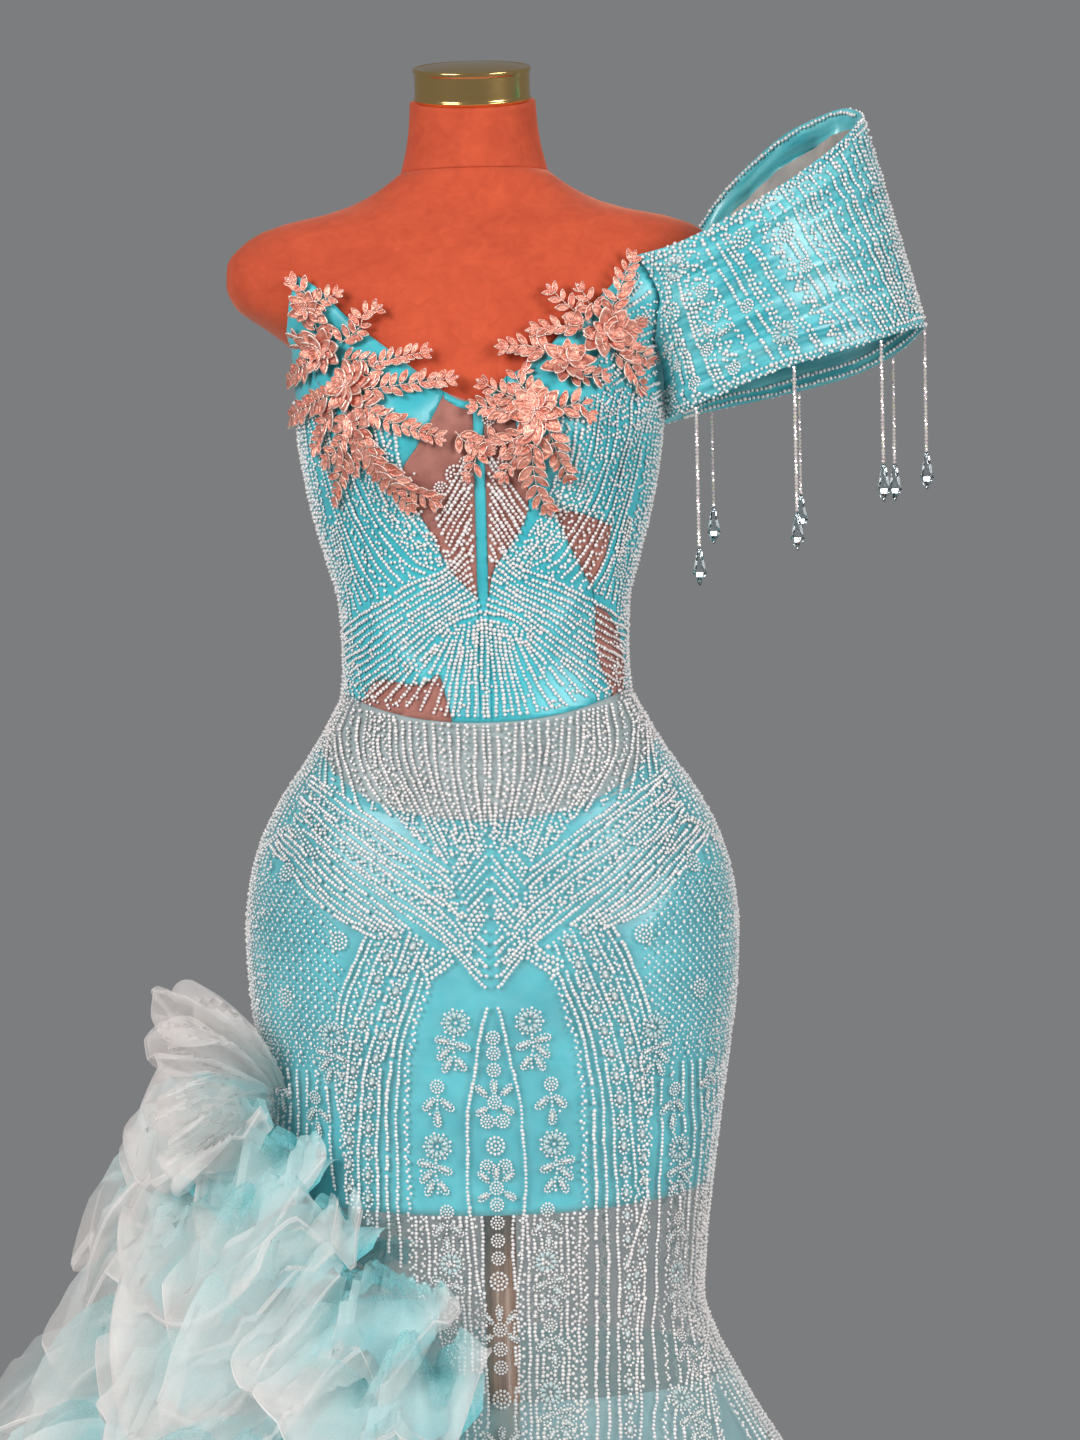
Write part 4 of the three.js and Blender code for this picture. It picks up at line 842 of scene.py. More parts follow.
# Soft folds along the band, in stations and shares: from, to, half width, height in metres.
SLEEVE_CREASES = np.array([
    # station, share, station, share, wide, high
    (0.02, 0.62, 0.34, 0.66, 0.05, 0.0043), (0.04, 0.4, 0.3, 0.36, 0.04, 0.0035),
    (0.1, 0.2, 0.46, 0.14, 0.03, 0.0041), (0.16, 0.84, 0.5, 0.88, 0.03, 0.0035),
    (0.3, 0.52, 0.54, 0.46, 0.04, 0.0032), (0.26, 0.24, 0.52, 0.28, 0.03, -0.0030),
    (0.36, 0.72, 0.55, 0.74, 0.03, 0.0030), (0.05, 0.9, 0.24, 0.8, 0.03, 0.0030),
    (0, 0.1, 0.2, 0.08, 0.03, 0.0032), (0.58, 0.8, 0.92, 0.7, 0.035, 0.0074),
    (0.6, 0.62, 0.84, 0.84, 0.03, -0.0070), (0.62, 0.92, 0.95, 0.86, 0.03, 0.0070),
    (0.64, 0.3, 0.9, 0.24, 0.04, 0.0058), (0.62, 0.1, 0.94, 0.12, 0.03, 0.0048),
    (0.72, 0.5, 0.98, 0.44, 0.035, -0.0054), (0.57, 0.72, 0.78, 0.94, 0.022, 0.0064),
    (0.66, 0.56, 0.88, 0.6, 0.022, 0.0058), (0.58, 0.98, 0.8, 0.76, 0.02, -0.0054),
    (0.6, 0.99, 0.67, 0.6, 0.012, 0.0064), (0.655, 0.98, 0.7, 0.58, 0.011, -0.0054),
    (0.7, 0.98, 0.77, 0.62, 0.013, 0.0067), (0.77, 0.98, 0.8, 0.6, 0.012, -0.0058),
    (0.82, 0.97, 0.88, 0.64, 0.013, 0.0061), (0.88, 0.97, 0.92, 0.64, 0.012, -0.0051),
])


def sleeve_band(station, share):
    low = np.stack([read_table(SLEEVE, column, station) for column in (1, 2, 3)], axis=-1)
    top = np.stack([read_table(SLEEVE, column, station) for column in (4, 5, 6)], axis=-1)
    return low + (top - low) * share[..., None]


def sleeve_point(station, share):
    """station runs round the band from front to back, share from its lower to its upper edge."""
    station, share = np.broadcast_arrays(np.asarray(station, float), np.asarray(share, float))
    point = sleeve_band(station, share)
    facing = np.cos(np.pi * np.clip(station / SLEEVE_TURN / 1.78, 0, 1))
    point[..., 1] -= SLEEVE_BULGE * np.sin(np.pi * share) * facing
    for table, end, near in ((SEWN_FRONT, 0.0, np.clip(1 - station / SLEEVE_EASE, 0, 1) ** 2),
                             (SEWN_BACK, 1.0, np.clip(1 - (1 - station) / SLEEVE_EASE, 0, 1) ** 2)):
        sewn = off_figure(read_table(table, 1, share), read_table(table, 2, share), SEWN_OUT)
        loose = sleeve_band(np.full_like(station, end), share)
        loose[..., 1] -= SLEEVE_BULGE * np.sin(np.pi * share) * (1 if end == 0 else -1)
        point += (sewn - loose) * near[..., None]
    return point


def sleeve_normal(station, share):
    step = 0.004
    above, below = np.clip(share + step, 0, 1), np.clip(share - step, 0, 1)
    along = sleeve_point(station + step, share) - sleeve_point(station - step, share)
    return unit(np.cross(along, sleeve_point(station, above) - sleeve_point(station, below)))


def sleeve_out(station, share, out=0.0):
    """A point on the creased band, a given way out from it."""
    station, share = np.broadcast_arrays(np.asarray(station, float), np.asarray(share, float))
    faded = np.clip(np.minimum(station, 1 - station) / CREASES_FADE, 0, 1)
    height = creases(SLEEVE_CREASES, station, share) * faded
    return sleeve_point(station, share) + sleeve_normal(station, share) * (height + out)[..., None]


gathered = material("satin_painted_gather_streaks", (0.06, 0.5, 0.58), 0.26, Sheen_Weight=0.3, Specular_IOR_Level=0.7)
# The paler and darker streaks along the band are painted highlight and shade of its gathers; the pale ones
# also stand for white tulle bunched over the satin.
mottled(gathered, (0.035, 0.40, 0.47), (0.19, 0.68, 0.73), 5, 0.36, 0.68, (0.7, 4.4, 1))
woven(gathered, 60, 0.2)
for name, start, end, length, area in (("front", 0, SLEEVE_TURN, 0.28, 0.0366),
                                       ("back", SLEEVE_TURN, 1, 0.30, 0.0483)):
    bm = skin(88, 44, lambda u, v: sleeve_out(start + (end - start) * u, v))
    half_band = piece_of(bm, f"band_{name}", gathered, "satin", f"sleeve_{name}")
    thicken(half_band, SLEEVE_WALL * 0.7)

# The mesh lining lies inside the back half, in stations and shares of the band.
LINING_FROM, LINING_TO, LINING_LOW, LINING_HIGH = 0.6, 0.86, 0.12, 0.915
LINING_FALL, LINING_INSIDE = 0.035, 0.0045
lining_net = material("lining_mesh", (0.42, 0.38, 0.34), 0.6, Sheen_Weight=0.3)
woven(mottled(lining_net, (0.34, 0.33, 0.31), (0.52, 0.45, 0.40), 40), 160, 0.5)


def lining_place(u, v):
    top = LINING_HIGH - LINING_FALL * u
    return sleeve_out(LINING_FROM + (LINING_TO - LINING_FROM) * u, LINING_LOW + (top - LINING_LOW) * v,
                      -LINING_INSIDE)


bm = skin(60, 22, lining_place)
band_lining = piece_of(bm, "band_lining", lining_net, "nude_mesh", "sleeve_mesh_lining")

# ---------------------------------------------------------------- beadwork of the gown
# Pearly glass beads are sewn on singly in rows, ropes, chains of loops, rosettes, flowers and leaves.
# The two halves of the gown mirror each other, and the back repeats the front more openly.
BEAD, PITCH = 0.0033, 0.0031
CLOSEST = 0.80                           # of two beads' mean width, which is as near as they may lie
MILLIMETRES = 0.001
JITTER, WANDER, UNEVEN = 0.00025, 0.0006, 0.11   # of the beads of a row: sideways, and in size
random = np.random.default_rng(11)


def gown_out(turn, z):
    below = np.where(z > KNEE_SEAM, tulle_out(turn, z), flare_out(turn, z))
    return np.where(z > waist_seam(turn), bodice_out(turn, z), below)


def gown(turn, z):
    return off_figure(turn, z, gown_out(turn, z))


def charted(place, low, high, counts, wrap=False):
    """Measures a ground once on a fine grid; what it returns reads points between the marks."""
    marks = [np.linspace(start, end, count) for start, end, count in zip(low, high, counts)]
    points = place(*np.meshgrid(*marks, indexing="ij"))
    normals = unit(np.cross(np.gradient(points, axis=0), np.gradient(points, axis=1)))
    chart = np.concatenate([points, normals], axis=-1)

    def read(a, b, out=0.0):
        a, b = np.broadcast_arrays(np.asarray(a, float), np.asarray(b, float))
        if wrap:
            a = (a - low[0]) % 360 + low[0]
        shares = [np.clip((value - start) / (end - start), 0, 1) * (count - 1)
                  for value, start, end, count in zip((a, b), low, high, counts)]
        i, j = (np.minimum(share.astype(int), count - 2) for share, count in zip(shares, counts))
        u, v = (shares[0] - i)[..., None], (shares[1] - j)[..., None]
        found = ((chart[i, j] * (1 - u) + chart[i + 1, j] * u) * (1 - v)
                 + (chart[i, j + 1] * (1 - u) + chart[i + 1, j + 1] * u) * v)
        return found[..., :3] + found[..., 3:] * np.asarray(out)[..., None]
    return read


# A ground to sew on, with the steps that measure its slopes.
GOWN = (charted(gown, (-100, 0.004), (280, 1.46), (381, 583), True), 0.4, 0.001)
sewn = []                                # rows of: glass, point, normal, along, long, wide, high


def slopes(ground, a, b):
    """How the point moves as each coordinate grows, in metres per unit."""
    place, step_a, step_b = ground
    return ((place(a + step_a, b) - place(a - step_a, b)) / (2 * step_a),
            (place(a, b + step_b) - place(a, b - step_b)) / (2 * step_b))


def spans(ground, coords):
    """How many metres the cloth spans for each unit of its two coordinates, at each place."""
    found = slopes(ground, coords[:, 0], coords[:, 1])
    return np.stack([np.linalg.norm(slope, axis=1) for slope in found], axis=-1)


def sew(glass, ground, coords, long=BEAD, wide=None, high=None, angle=0.0):
    """Sews beads at coordinates on the cloth, each lying at an angle in its plane."""
    coords = np.atleast_2d(coords)
    a, b = coords[:, 0], coords[:, 1]
    wide = long if wide is None else wide
    high = wide if high is None else high
    across, up = (unit(slope) for slope in slopes(ground, a, b))
    long, wide, high, angle = (np.broadcast_to(value, a.shape) for value in (long, wide, high, angle))
    normal = unit(np.cross(across, up))
    along = unit(np.cos(angle)[:, None] * across + np.sin(angle)[:, None] * up)
    points = ground[0](a, b, high * 0.42)
    sewn.extend(zip([glass] * len(a), points, normal, along, long, wide, high))


def paced(ground, path, pitch, start=0.5):
    """Coordinates at an even pitch along a path on the cloth, and the way the path runs there."""
    path = np.asarray(path)
    steps = np.linspace(0, len(path) - 1, (len(path) - 1) * 8 + 1)
    a, b = (np.interp(steps, np.arange(len(path)), path[:, i]) for i in (0, 1))
    points = ground[0](a, b)
    far = np.concatenate(([0], np.cumsum(np.linalg.norm(np.diff(points, axis=0), axis=1))))
    count = max(int(far[-1] / pitch), 1)
    at = (np.arange(count) + start) * far[-1] / count
    coords, ahead, behind = (np.stack([np.interp(at + step, far, a), np.interp(at + step, far, b)], axis=-1)
                             for step in (0, 0.001, -0.001))
    way = (ahead - behind) * spans(ground, coords)
    return coords, np.arctan2(way[:, 1], way[:, 0])


def beside(ground, coords, angle, away):
    """Moves coordinates sideways from the way their path runs."""
    sideways = np.stack([-np.sin(angle), np.cos(angle)], axis=-1)
    return coords + sideways * away[:, None] / spans(ground, coords)


def motif(ground, places, marks, turned=0.0, flip=1):
    """Sews marks of glass, x, z, long, wide, high and angle, in millimetres and degrees, round places."""
    places = np.atleast_2d(places)
    turned = np.broadcast_to(turned, len(places))[:, None]
    scale = spans(ground, places)
    for glass in ("clear", "pearl"):
        chosen = np.array([mark[1:] for mark in marks if mark[0] == glass], float)
        if not len(chosen):
            continue
        x, z, long, wide, high = (chosen[:, :5] * MILLIMETRES).T
        x = x * flip
        angle = np.radians(chosen[:, 5]) if flip > 0 else math.pi - np.radians(chosen[:, 5])
        offset = np.stack([x * np.cos(turned) - z * np.sin(turned),
                           x * np.sin(turned) + z * np.cos(turned)], axis=-1)
        coords = (places[:, None, :] + offset / scale[:, None, :]).reshape(-1, 2)
        count = len(places)
        sew(glass, ground, coords, np.tile(long, count), np.tile(wide, count), np.tile(high, count),
            (angle + turned).reshape(-1))


def seed(x, z, size=2.6, high=None):
    """The mark of one round bead of a motif."""
    return ("pearl", x, z, size, size, high or size, 0)


def ring(count, radius, size, start=0.0):
    turns = [math.tau * (i + start) / count for i in range(count)]
    return [seed(radius * math.cos(t), radius * math.sin(t), size) for t in turns]


def leaf_marks(x, z, angle, length=14.0, width=6.6, seeds=13):
    """A leaf of clear glass with a pearl rib and a seed bead edge, its root at x, z."""
    cosine, sine = math.cos(math.radians(angle)), math.sin(math.radians(angle))
    middle = length / 2
    marks = [("clear", x + middle * cosine, z + middle * sine, length * 0.8, width * 0.66, 1.5, angle)]
    for along in (length * share for share in (0.36, 0.56, 0.74)):
        marks.append(("pearl", x + along * cosine, z + along * sine, 2.7, 2.2, 2.9, angle))
    for i in range(seeds):
        turn = math.tau * (i + 0.5) / seeds
        along = middle + middle * math.cos(turn)
        away = width / 2 * math.sin(turn) * (0.82 + 0.3 * math.cos(turn - 0.5))
        marks.append(seed(x + along * cosine - away * sine, z + along * sine + away * cosine, 1.9))
    return marks


ROSETTE = [seed(0, 0, 2.4, 2.6)] + ring(7, 3.4, 2.7) + ring(13, 6.6, 2.8, 0.5)
DISC = [seed(0, 0, 2.1, 2.3)] + ring(6, 2.4, 2.1) + ring(12, 4.8, 2.3, 0.5)
FLOWER = ([seed(0, 0, 3.0)] + ring(9, 10.6, 2.8) + ring(9, 9.4, 2.2, 0.5)
          + [("clear", 6.2 * math.cos(t), 6.2 * math.sin(t), 6.6, 3.6, 2.2, math.degrees(t))
             for t in np.arange(9) * math.tau / 9]
          + ring(9, 4.9, 1.8) + ring(9, 7.4, 1.8, 0.5))
LOOP = ([("clear", 0, 0, 9.0, 6.0, 1.2, 90)]
        + [seed(4.2 * math.cos(t), 6.2 * math.sin(t)) for t in np.arange(10) * math.tau / 10]
        + [seed(0.4, 1.4), seed(-0.4, -1.6, 2.4)])
FLEUR = (DISC + [seed(0.4 * i, -7.5 - 3.2 * i, 2.5) for i in range(4)]
         + leaf_marks(-2.2, -9.5, 225, 13) + leaf_marks(2.6, -9.0, 315, 13)
         + leaf_marks(1.2, -19.5, 270, 12) + [seed(7.2, -21.5)])
SPRIG = (FLOWER + [seed(2.0 + math.sin(i * 0.9), -13.0 - 3.3 * i) for i in range(8)]
         + leaf_marks(1.0, -15.5, 205, 12) + leaf_marks(4.0, -15.0, 12, 13)
         + leaf_marks(5.0, -18.5, 318, 14) + leaf_marks(1.0, -26.0, 238, 13)
         + leaf_marks(4.4, -26.0, 300, 14) + [seed(14.5, -19.0), seed(-2.6, -37.0)])
STAR = (DISC + leaf_marks(0, 6.5, 90, 11, 5.6) + leaf_marks(5.2, 4.6, 40, 13, 5.8)
        + leaf_marks(-5.2, 4.6, 140, 13, 5.8) + leaf_marks(5.6, -3.6, 332, 12, 5.6)
        + leaf_marks(-5.6, -3.6, 208, 12, 5.6))
LOOP_PITCH = 0.0182


def row(ground, path, style, pitch=PITCH):
    """Sews one row along a path: a plain row, a rope, a double row, a zigzag or a chain of loops."""
    if style == "loops":
        coords, angle = paced(ground, path, LOOP_PITCH)
        motif(ground, coords, LOOP, angle - math.pi / 2)
        links, _ = paced(ground, path, LOOP_PITCH, 0.02)
        sew("pearl", ground, links)
        return
    coords, angle = paced(ground, path, pitch * (0.62 if style in ("rope", "double", "zigzag") else 1))
    beat = np.arange(len(coords))
    away = {"plain": 0 * beat, "rope": 0.0013 * np.sin(beat * 1.9),
            "double": 0.0017 * (-1.0) ** beat,
            "zigzag": 0.0042 * (2 * np.abs((beat / 6) % 1 - 0.5) - 0.5) * 2}[style]
    away = away + random.normal(0, JITTER, len(coords))
    away = away + WANDER * np.sin(beat * 0.31 + random.uniform(0, 6))
    size = BEAD * (1 + 0.05 * random.standard_normal())
    size = size * (1 + UNEVEN * random.standard_normal(len(coords)))
    sew("pearl", ground, beside(ground, coords, angle, away), size * (0.88 if style == "rope" else 1))


def to_turns(points, side=1, back=False):
    """A smooth path from points in millimetres on the front, as turns and heights."""
    line = curve(points, 4) / 1000
    return np.stack([turn_at(line[:, 0] * side, line[:, 1], back), line[:, 1]], axis=-1)


def field(ground, guides, rows, styles, pitch=PITCH):
    """Fills the space between guide paths with rows that pass gradually from one to the next."""
    rows = math.ceil(rows * PITCH / pitch)
    even = []
    for guide in guides:
        shares = np.linspace(0, len(guide) - 1, 25)
        marks = np.arange(len(guide))
        even.append(np.stack([np.interp(shares, marks, guide[:, i]) for i in (0, 1)], axis=-1))
    for i in range(rows):
        share = i / max(rows - 1, 1) * (len(even) - 1)
        first = min(int(share), len(even) - 2)
        path = even[first] + (even[first + 1] - even[first]) * (share - first)
        row(ground, path, styles[i % len(styles)], pitch)


# Rosettes and other single motifs of one half, in millimetres on the front.
HALF_MOTIFS = [
    # motif, x, z
    (ROSETTE, 154, 963), (ROSETTE, 115, 913), (ROSETTE, 157, 867), (ROSETTE, 104, 1197), (SPRIG, 28, 850),
    (FLEUR, 43, 801), (SPRIG, 44, 754), (FLEUR, 38, 703), (SPRIG, 36, 662), (FLEUR, 38, 612),
    (SPRIG, 122, 840), (FLEUR, 136, 790), (SPRIG, 138, 742), (FLEUR, 136, 686), (SPRIG, 134, 642),
    (FLEUR, 136, 590), (FLEUR, 164, 806), (DISC, 6, 773), (DISC, 7, 738), (ROSETTE, 186, 915),
    (SPRIG, 37, 560), (FLEUR, 38, 508), (SPRIG, 40, 460), (FLEUR, 44, 404), (SPRIG, 136, 545),
    (FLEUR, 140, 492), (SPRIG, 146, 446), (FLEUR, 158, 394), (SPRIG, 88, 500), (FLEUR, 94, 446),
]
CENTRE_MOTIFS = [
    # motif, height
    (DISC, 838), (DISC, 826), (DISC, 813), (STAR, 788), (ROSETTE, 754), (STAR, 721), (DISC, 708),
    (DISC, 694), (DISC, 680), (DISC, 666), (ROSETTE, 648), (STAR, 610), (DISC, 594), (DISC, 580),
    (ROSETTE, 556), (STAR, 520), (DISC, 504), (ROSETTE, 480), (STAR, 444), (DISC, 428),
]
# Fields of rows of one half: each guide is a path in millimetres on the front.
HALF_FIELDS = [
    # rows, styles, guides
    (11, ("plain",), [[(13, 1216), (30, 1198), (62, 1184), (112, 1150)],
                      [(1, 1166), (24, 1157), (51, 1134), (94, 1096)]]),
    (16, ("plain", "plain", "rope"), [[(132, 1330), (112, 1251), (98, 1206), (84, 1178)],
                                      [(100, 1334), (84, 1262), (52, 1212), (30, 1200)],
                                      [(66, 1322), (56, 1262), (30, 1216), (12, 1204)]]),
    (4, ("plain",), [[(88, 1176), (98, 1200), (110, 1240)], [(100, 1164), (106, 1200), (114, 1236)]]),
    (11, ("plain",), [[(7, 1290), (36, 1244)], [(6, 1210), (18, 1184)]]),
    (12, ("plain",), [[(2, 1160), (2, 1081)], [(16, 1156), (34, 1083)], [(26, 1155), (84, 1098)]]),
    (5, ("plain", "rope"), [[(112, 1146), (103, 1100)], [(88, 1114), (84, 1094)]]),
    (14, ("plain", "plain", "rope"), [[(114, 1094), (122, 1062), (128, 1030)],
                                      [(92, 1088), (92, 1044), (66, 1004)],
                                      [(70, 1084), (64, 1038), (32, 970)]]),
    (11, ("plain", "plain", "rope"), [[(64, 1080), (58, 1036), (30, 974)],
                                      [(34, 1078), (32, 1036), (18, 982)],
                                      [(2, 1076), (2, 1036), (2, 998)]]),
    (11, ("plain", "plain", "plain", "rope"), [[(132, 1034), (92, 1008), (41, 972), (30, 964)],
                                               [(148, 1003), (92, 954), (38, 914), (4, 876)]]),
    (7, ("plain",), [[(150, 1000), (96, 950), (60, 922)], [(166, 982), (124, 936), (86, 916)]]),
    (2, ("double",), [[(3, 996), (29, 963), (54, 934)], [(4, 988), (26, 957), (48, 929)]]),
    (2, ("double",), [[(3, 941), (33, 906), (55, 892)], [(3, 932), (30, 899), (50, 884)]]),
    (7, ("plain",), [[(1, 1000), (28, 968)], [(1, 952), (17, 934)]]),
    (6, ("plain",), [[(3, 926), (22, 943)], [(3, 884), (44, 924)]]),
    (12, ("plain", "plain", "rope", "plain", "loops", "plain", "plain", "loops", "plain"),
     [[(84, 936), (110, 882), (120, 838), (122, 812)],
      [(62, 922), (84, 866), (102, 800), (108, 700), (108, 520)],
      [(38, 905), (56, 856), (66, 806), (66, 700), (62, 520)]]),
    (11, ("plain", "rope", "plain", "plain"), [[(12, 700), (11, 560), (10, 500), (8, 330)],
                                               [(62, 700), (60, 560), (62, 500), (80, 330)]]),
    (11, ("plain", "plain", "rope", "plain"),
     [[(118, 812), (112, 700), (106, 560), (108, 500), (140, 330)],
      [(176, 812), (166, 700), (160, 620), (158, 560), (176, 470)]]),
    (8, ("plain", "loops", "plain"), [[(64, 520), (84, 330)], [(106, 520), (136, 330)]]),
]
HIP_LINE = [(176, 975), (160, 990), (147, 996), (138, 984), (131, 973)]
STRING = [(4, 862), (12, 826), (19, 787), (22, 745), (21, 709), (17, 665), (14, 632), (14, 560)]


def half(side, back=False, pitch=PITCH):
    """Sews one half of the gown, from the bodice down into the flare."""
    for marks, x, z in HALF_MOTIFS:
        place = (turn_at(side * x / 1000, z / 1000, back), z / 1000)
        motif(GOWN, place, marks, 0, -side if back else side)
    row(GOWN, to_turns(HIP_LINE, side, back), "double", pitch)
    row(GOWN, to_turns(STRING, side, back), "plain", pitch)
    for rows, styles, guides in HALF_FIELDS:
        field(GOWN, [to_turns(guide, side, back) for guide in guides], rows, styles, pitch)


for marks, z in CENTRE_MOTIFS:
    motif(GOWN, (0.0, z / 1000), marks)
half(1)
half(-1)
# The right cup has more beads, which lead up to the sleeve, and single rosettes lie on the mesh.
FRONT_MOTIFS = [
    # motif, x, z
    (ROSETTE, 129, 1394), (FLOWER, 116, 1352), (ROSETTE, 92, 1316), (DISC, 137, 1362),
    (DISC, 121, 1421), (ROSETTE, -20, 1273), (DISC, -31, 1263), (DISC, -11, 1281), (DISC, 9, 1314),
    (ROSETTE, 22, 1281),
]
CUP_ROWS = 15
CUP_GUIDES = [[(78, 1290), (110, 1306), (138, 1318)], [(88, 1342), (114, 1360), (136, 1372)],
              [(104, 1392), (116, 1406), (126, 1418)]]
for marks, x, z in FRONT_MOTIFS:
    motif(GOWN, (turn_at(x / 1000, z / 1000), z / 1000), marks)
field(GOWN, [to_turns(guide) for guide in CUP_GUIDES], CUP_ROWS, ("rope", "plain", "double", "plain"))
# Loose beads are scattered between the rows of the bodice, but not on the mesh at its middle.
LOOSE, LOOSE_TURN, LOOSE_LOW, LOOSE_HIGH = 900, 80, 1.086, 1.30
LOOSE_SMALL, LOOSE_LARGE = 0.0022, 0.0034
MESH_TURN, MESH_LOW = 16, 1.20
loose = np.stack([random.uniform(-LOOSE_TURN, LOOSE_TURN, LOOSE),
                  random.uniform(LOOSE_LOW, LOOSE_HIGH, LOOSE)], axis=-1)
loose = loose[(np.abs(loose[:, 0]) > MESH_TURN) | (loose[:, 1] < MESH_LOW)]
sew("pearl", GOWN, loose, random.uniform(LOOSE_SMALL, LOOSE_LARGE, len(loose)))
BACK_PITCH = PITCH * 2.0
half(1, True, BACK_PITCH)
half(-1, True, BACK_PITCH)

# Diamond lattice of seed rows on each hip, with an oval bead in each cell.
LATTICE_LOW, LATTICE_HIGH = 0.818, 0.968
LATTICE_CELL, LATTICE_STEP = 0.0145, 5.6
LATTICE_MARKS = ([("pearl", 0, 0, 4.2, 3.2, 2.4, 90), seed(0, 5.6, 2.2, 2.0)]
                 + [seed(x, z, 2.0) for z in (3.4, -3.4) for x in (3.4, -3.4)] + [seed(6.4, 0.6, 2.0)])
for side in (-1, 1):
    places = []
    for i in range(int((LATTICE_HIGH - LATTICE_LOW) / LATTICE_CELL) * 2):
        z = LATTICE_LOW + i * LATTICE_CELL / 2
        share = (z - LATTICE_LOW) / (LATTICE_HIGH - LATTICE_LOW)
        narrow = 47 - 10 * math.sqrt(math.sin(math.pi * share))
        shift = (i % 2) * LATTICE_STEP / 2
        places += [(side * turn, z) for turn in np.arange(narrow, 84, LATTICE_STEP) + shift]
    motif(GOWN, places, LATTICE_MARKS)

# Close upright rows run down both sides, from the armholes to the flare, or to the ruffles.
SIDE_TURNS, SIDE_TOP, SIDE_LOW, SIDE_RUFFLES = np.arange(66, 124, 3.6), 1.335, 0.36, 0.78
for side in (-1, 1):
    for number, turn in enumerate(SIDE_TURNS):
        path = [(side * turn, z) for z in np.linspace(SIDE_TOP, SIDE_LOW if side > 0 else SIDE_RUFFLES, 50)]
        row(GOWN, path, "plain" if number % 3 else "rope", PITCH * 1.1)

pearl = material("pearl_glass", (0.95, 0.88, 0.86), 0.16, Coat_Weight=0.8, Sheen_Weight=0.4)
mottled(pearl, (0.88, 0.79, 0.775), (1.0, 0.975, 0.96), 330)
clear = material("clear_glass", (0.62, 0.82, 0.84), 0.12, Coat_Weight=0.6, Alpha=0.7)
mottled(clear, (0.60, 0.82, 0.84), (0.86, 0.94, 0.93), 400)
GLASSES = {"pearl": pearl, "clear": clear}


def apart(beads):
    """Leaves out each bead that would sink into one sewn before it."""
    tree = KDTree(len(beads))
    for number, bead in enumerate(beads):
        tree.insert(bead[1], number)
    tree.balance()
    size = [(bead[4] + bead[5]) / 2 for bead in beads]
    kept = {}
    for number, bead in enumerate(beads):
        near = tree.find_range(bead[1], size[number] * 1.4) if bead[0] == "pearl" else ()
        if not any(other in kept and kept[other][0] == "pearl"
                   and gap < CLOSEST * (size[number] + size[other]) / 2
                   for _, other, gap in near if other != number):
            kept[number] = bead
    return list(kept.values())


def shape_of(bm):
    """The corners, faces and material numbers of a small shape that is repeated."""
    corners = np.array([vert.co for vert in bm.verts])
    faces = np.array([[vert.index for vert in face.verts] for face in bm.faces])
    finishes = np.array([face.material_index for face in bm.faces])
    bm.free()
    return corners, faces, finishes


bm = bmesh.new()
bmesh.ops.create_uvsphere(bm, u_segments=6, v_segments=2, radius=0.5)
ROUND_BEAD = shape_of(bm)


def joined(name, beads, shape, finishes, slot, *nodes):
    """One mesh of many like things: the shape, scaled, turned and moved for each."""
    corners, triangles, numbers = shape
    point, normal, along = (np.array([bead[i] for bead in beads]) for i in (1, 2, 3))
    sizes = np.array([bead[4:7] for bead in beads])
    axes = np.stack([along, np.cross(normal, along), normal], axis=1) * sizes[:, :, None]
    verts = (point[:, None, :] + np.einsum("vk,nkd->nvd", corners, axes)).reshape(-1, 3)
    faces = np.arange(len(beads))[:, None, None] * len(corners) + triangles
    faces = faces.reshape(-1, triangles.shape[1])
    mesh = bpy.data.meshes.new(name)
    mesh.from_pydata(verts.tolist(), [], faces.tolist())
    mesh.shade_smooth()
    mesh.polygons.foreach_set("material_index", np.tile(numbers, len(beads)))
    return finished(name, mesh, finishes, slot, nodes)


# The ruffles cover the gown between these turns, and it has no beads there.
COVERED = np.array([
    # z, front turn, back turn
    (0.02, -6, -168), (0.36, -6, -168), (0.50, -8, -163), (0.576, -16, -155), (0.634, -28, -146),
    (0.690, -44, -136), (0.735, -62, -122), (0.745, -90, -90),
])


def uncovered(beads):
    points = np.array([bead[1] for bead in beads])
    turn, z = np.degrees(np.arctan2(points[:, 0], -points[:, 1])), points[:, 2]
    front, back = (np.interp(z, COVERED[:, 0], COVERED[:, i]) for i in (1, 2))
    shown = (turn >= front) | (turn <= back) | (z > COVERED[-1, 0])
    return [bead for bead, show in zip(beads, shown) if show]


LARGEST = 15000                          # beads in one piece


def finish_beadwork(name):
    """Makes all that was sewn since the last call into pieces."""
    kept = apart(uncovered(sewn))
    sewn.clear()
    for glass, finish in GLASSES.items():
        chosen = [bead for bead in kept if bead[0] == glass]
        for number, start in enumerate(range(0, len(chosen), LARGEST)):
            joined(f"{name}_{glass}_beads_{number + 1}", chosen[start:start + LARGEST], ROUND_BEAD,
                   [finish], "glass_beads")


finish_beadwork("gown")

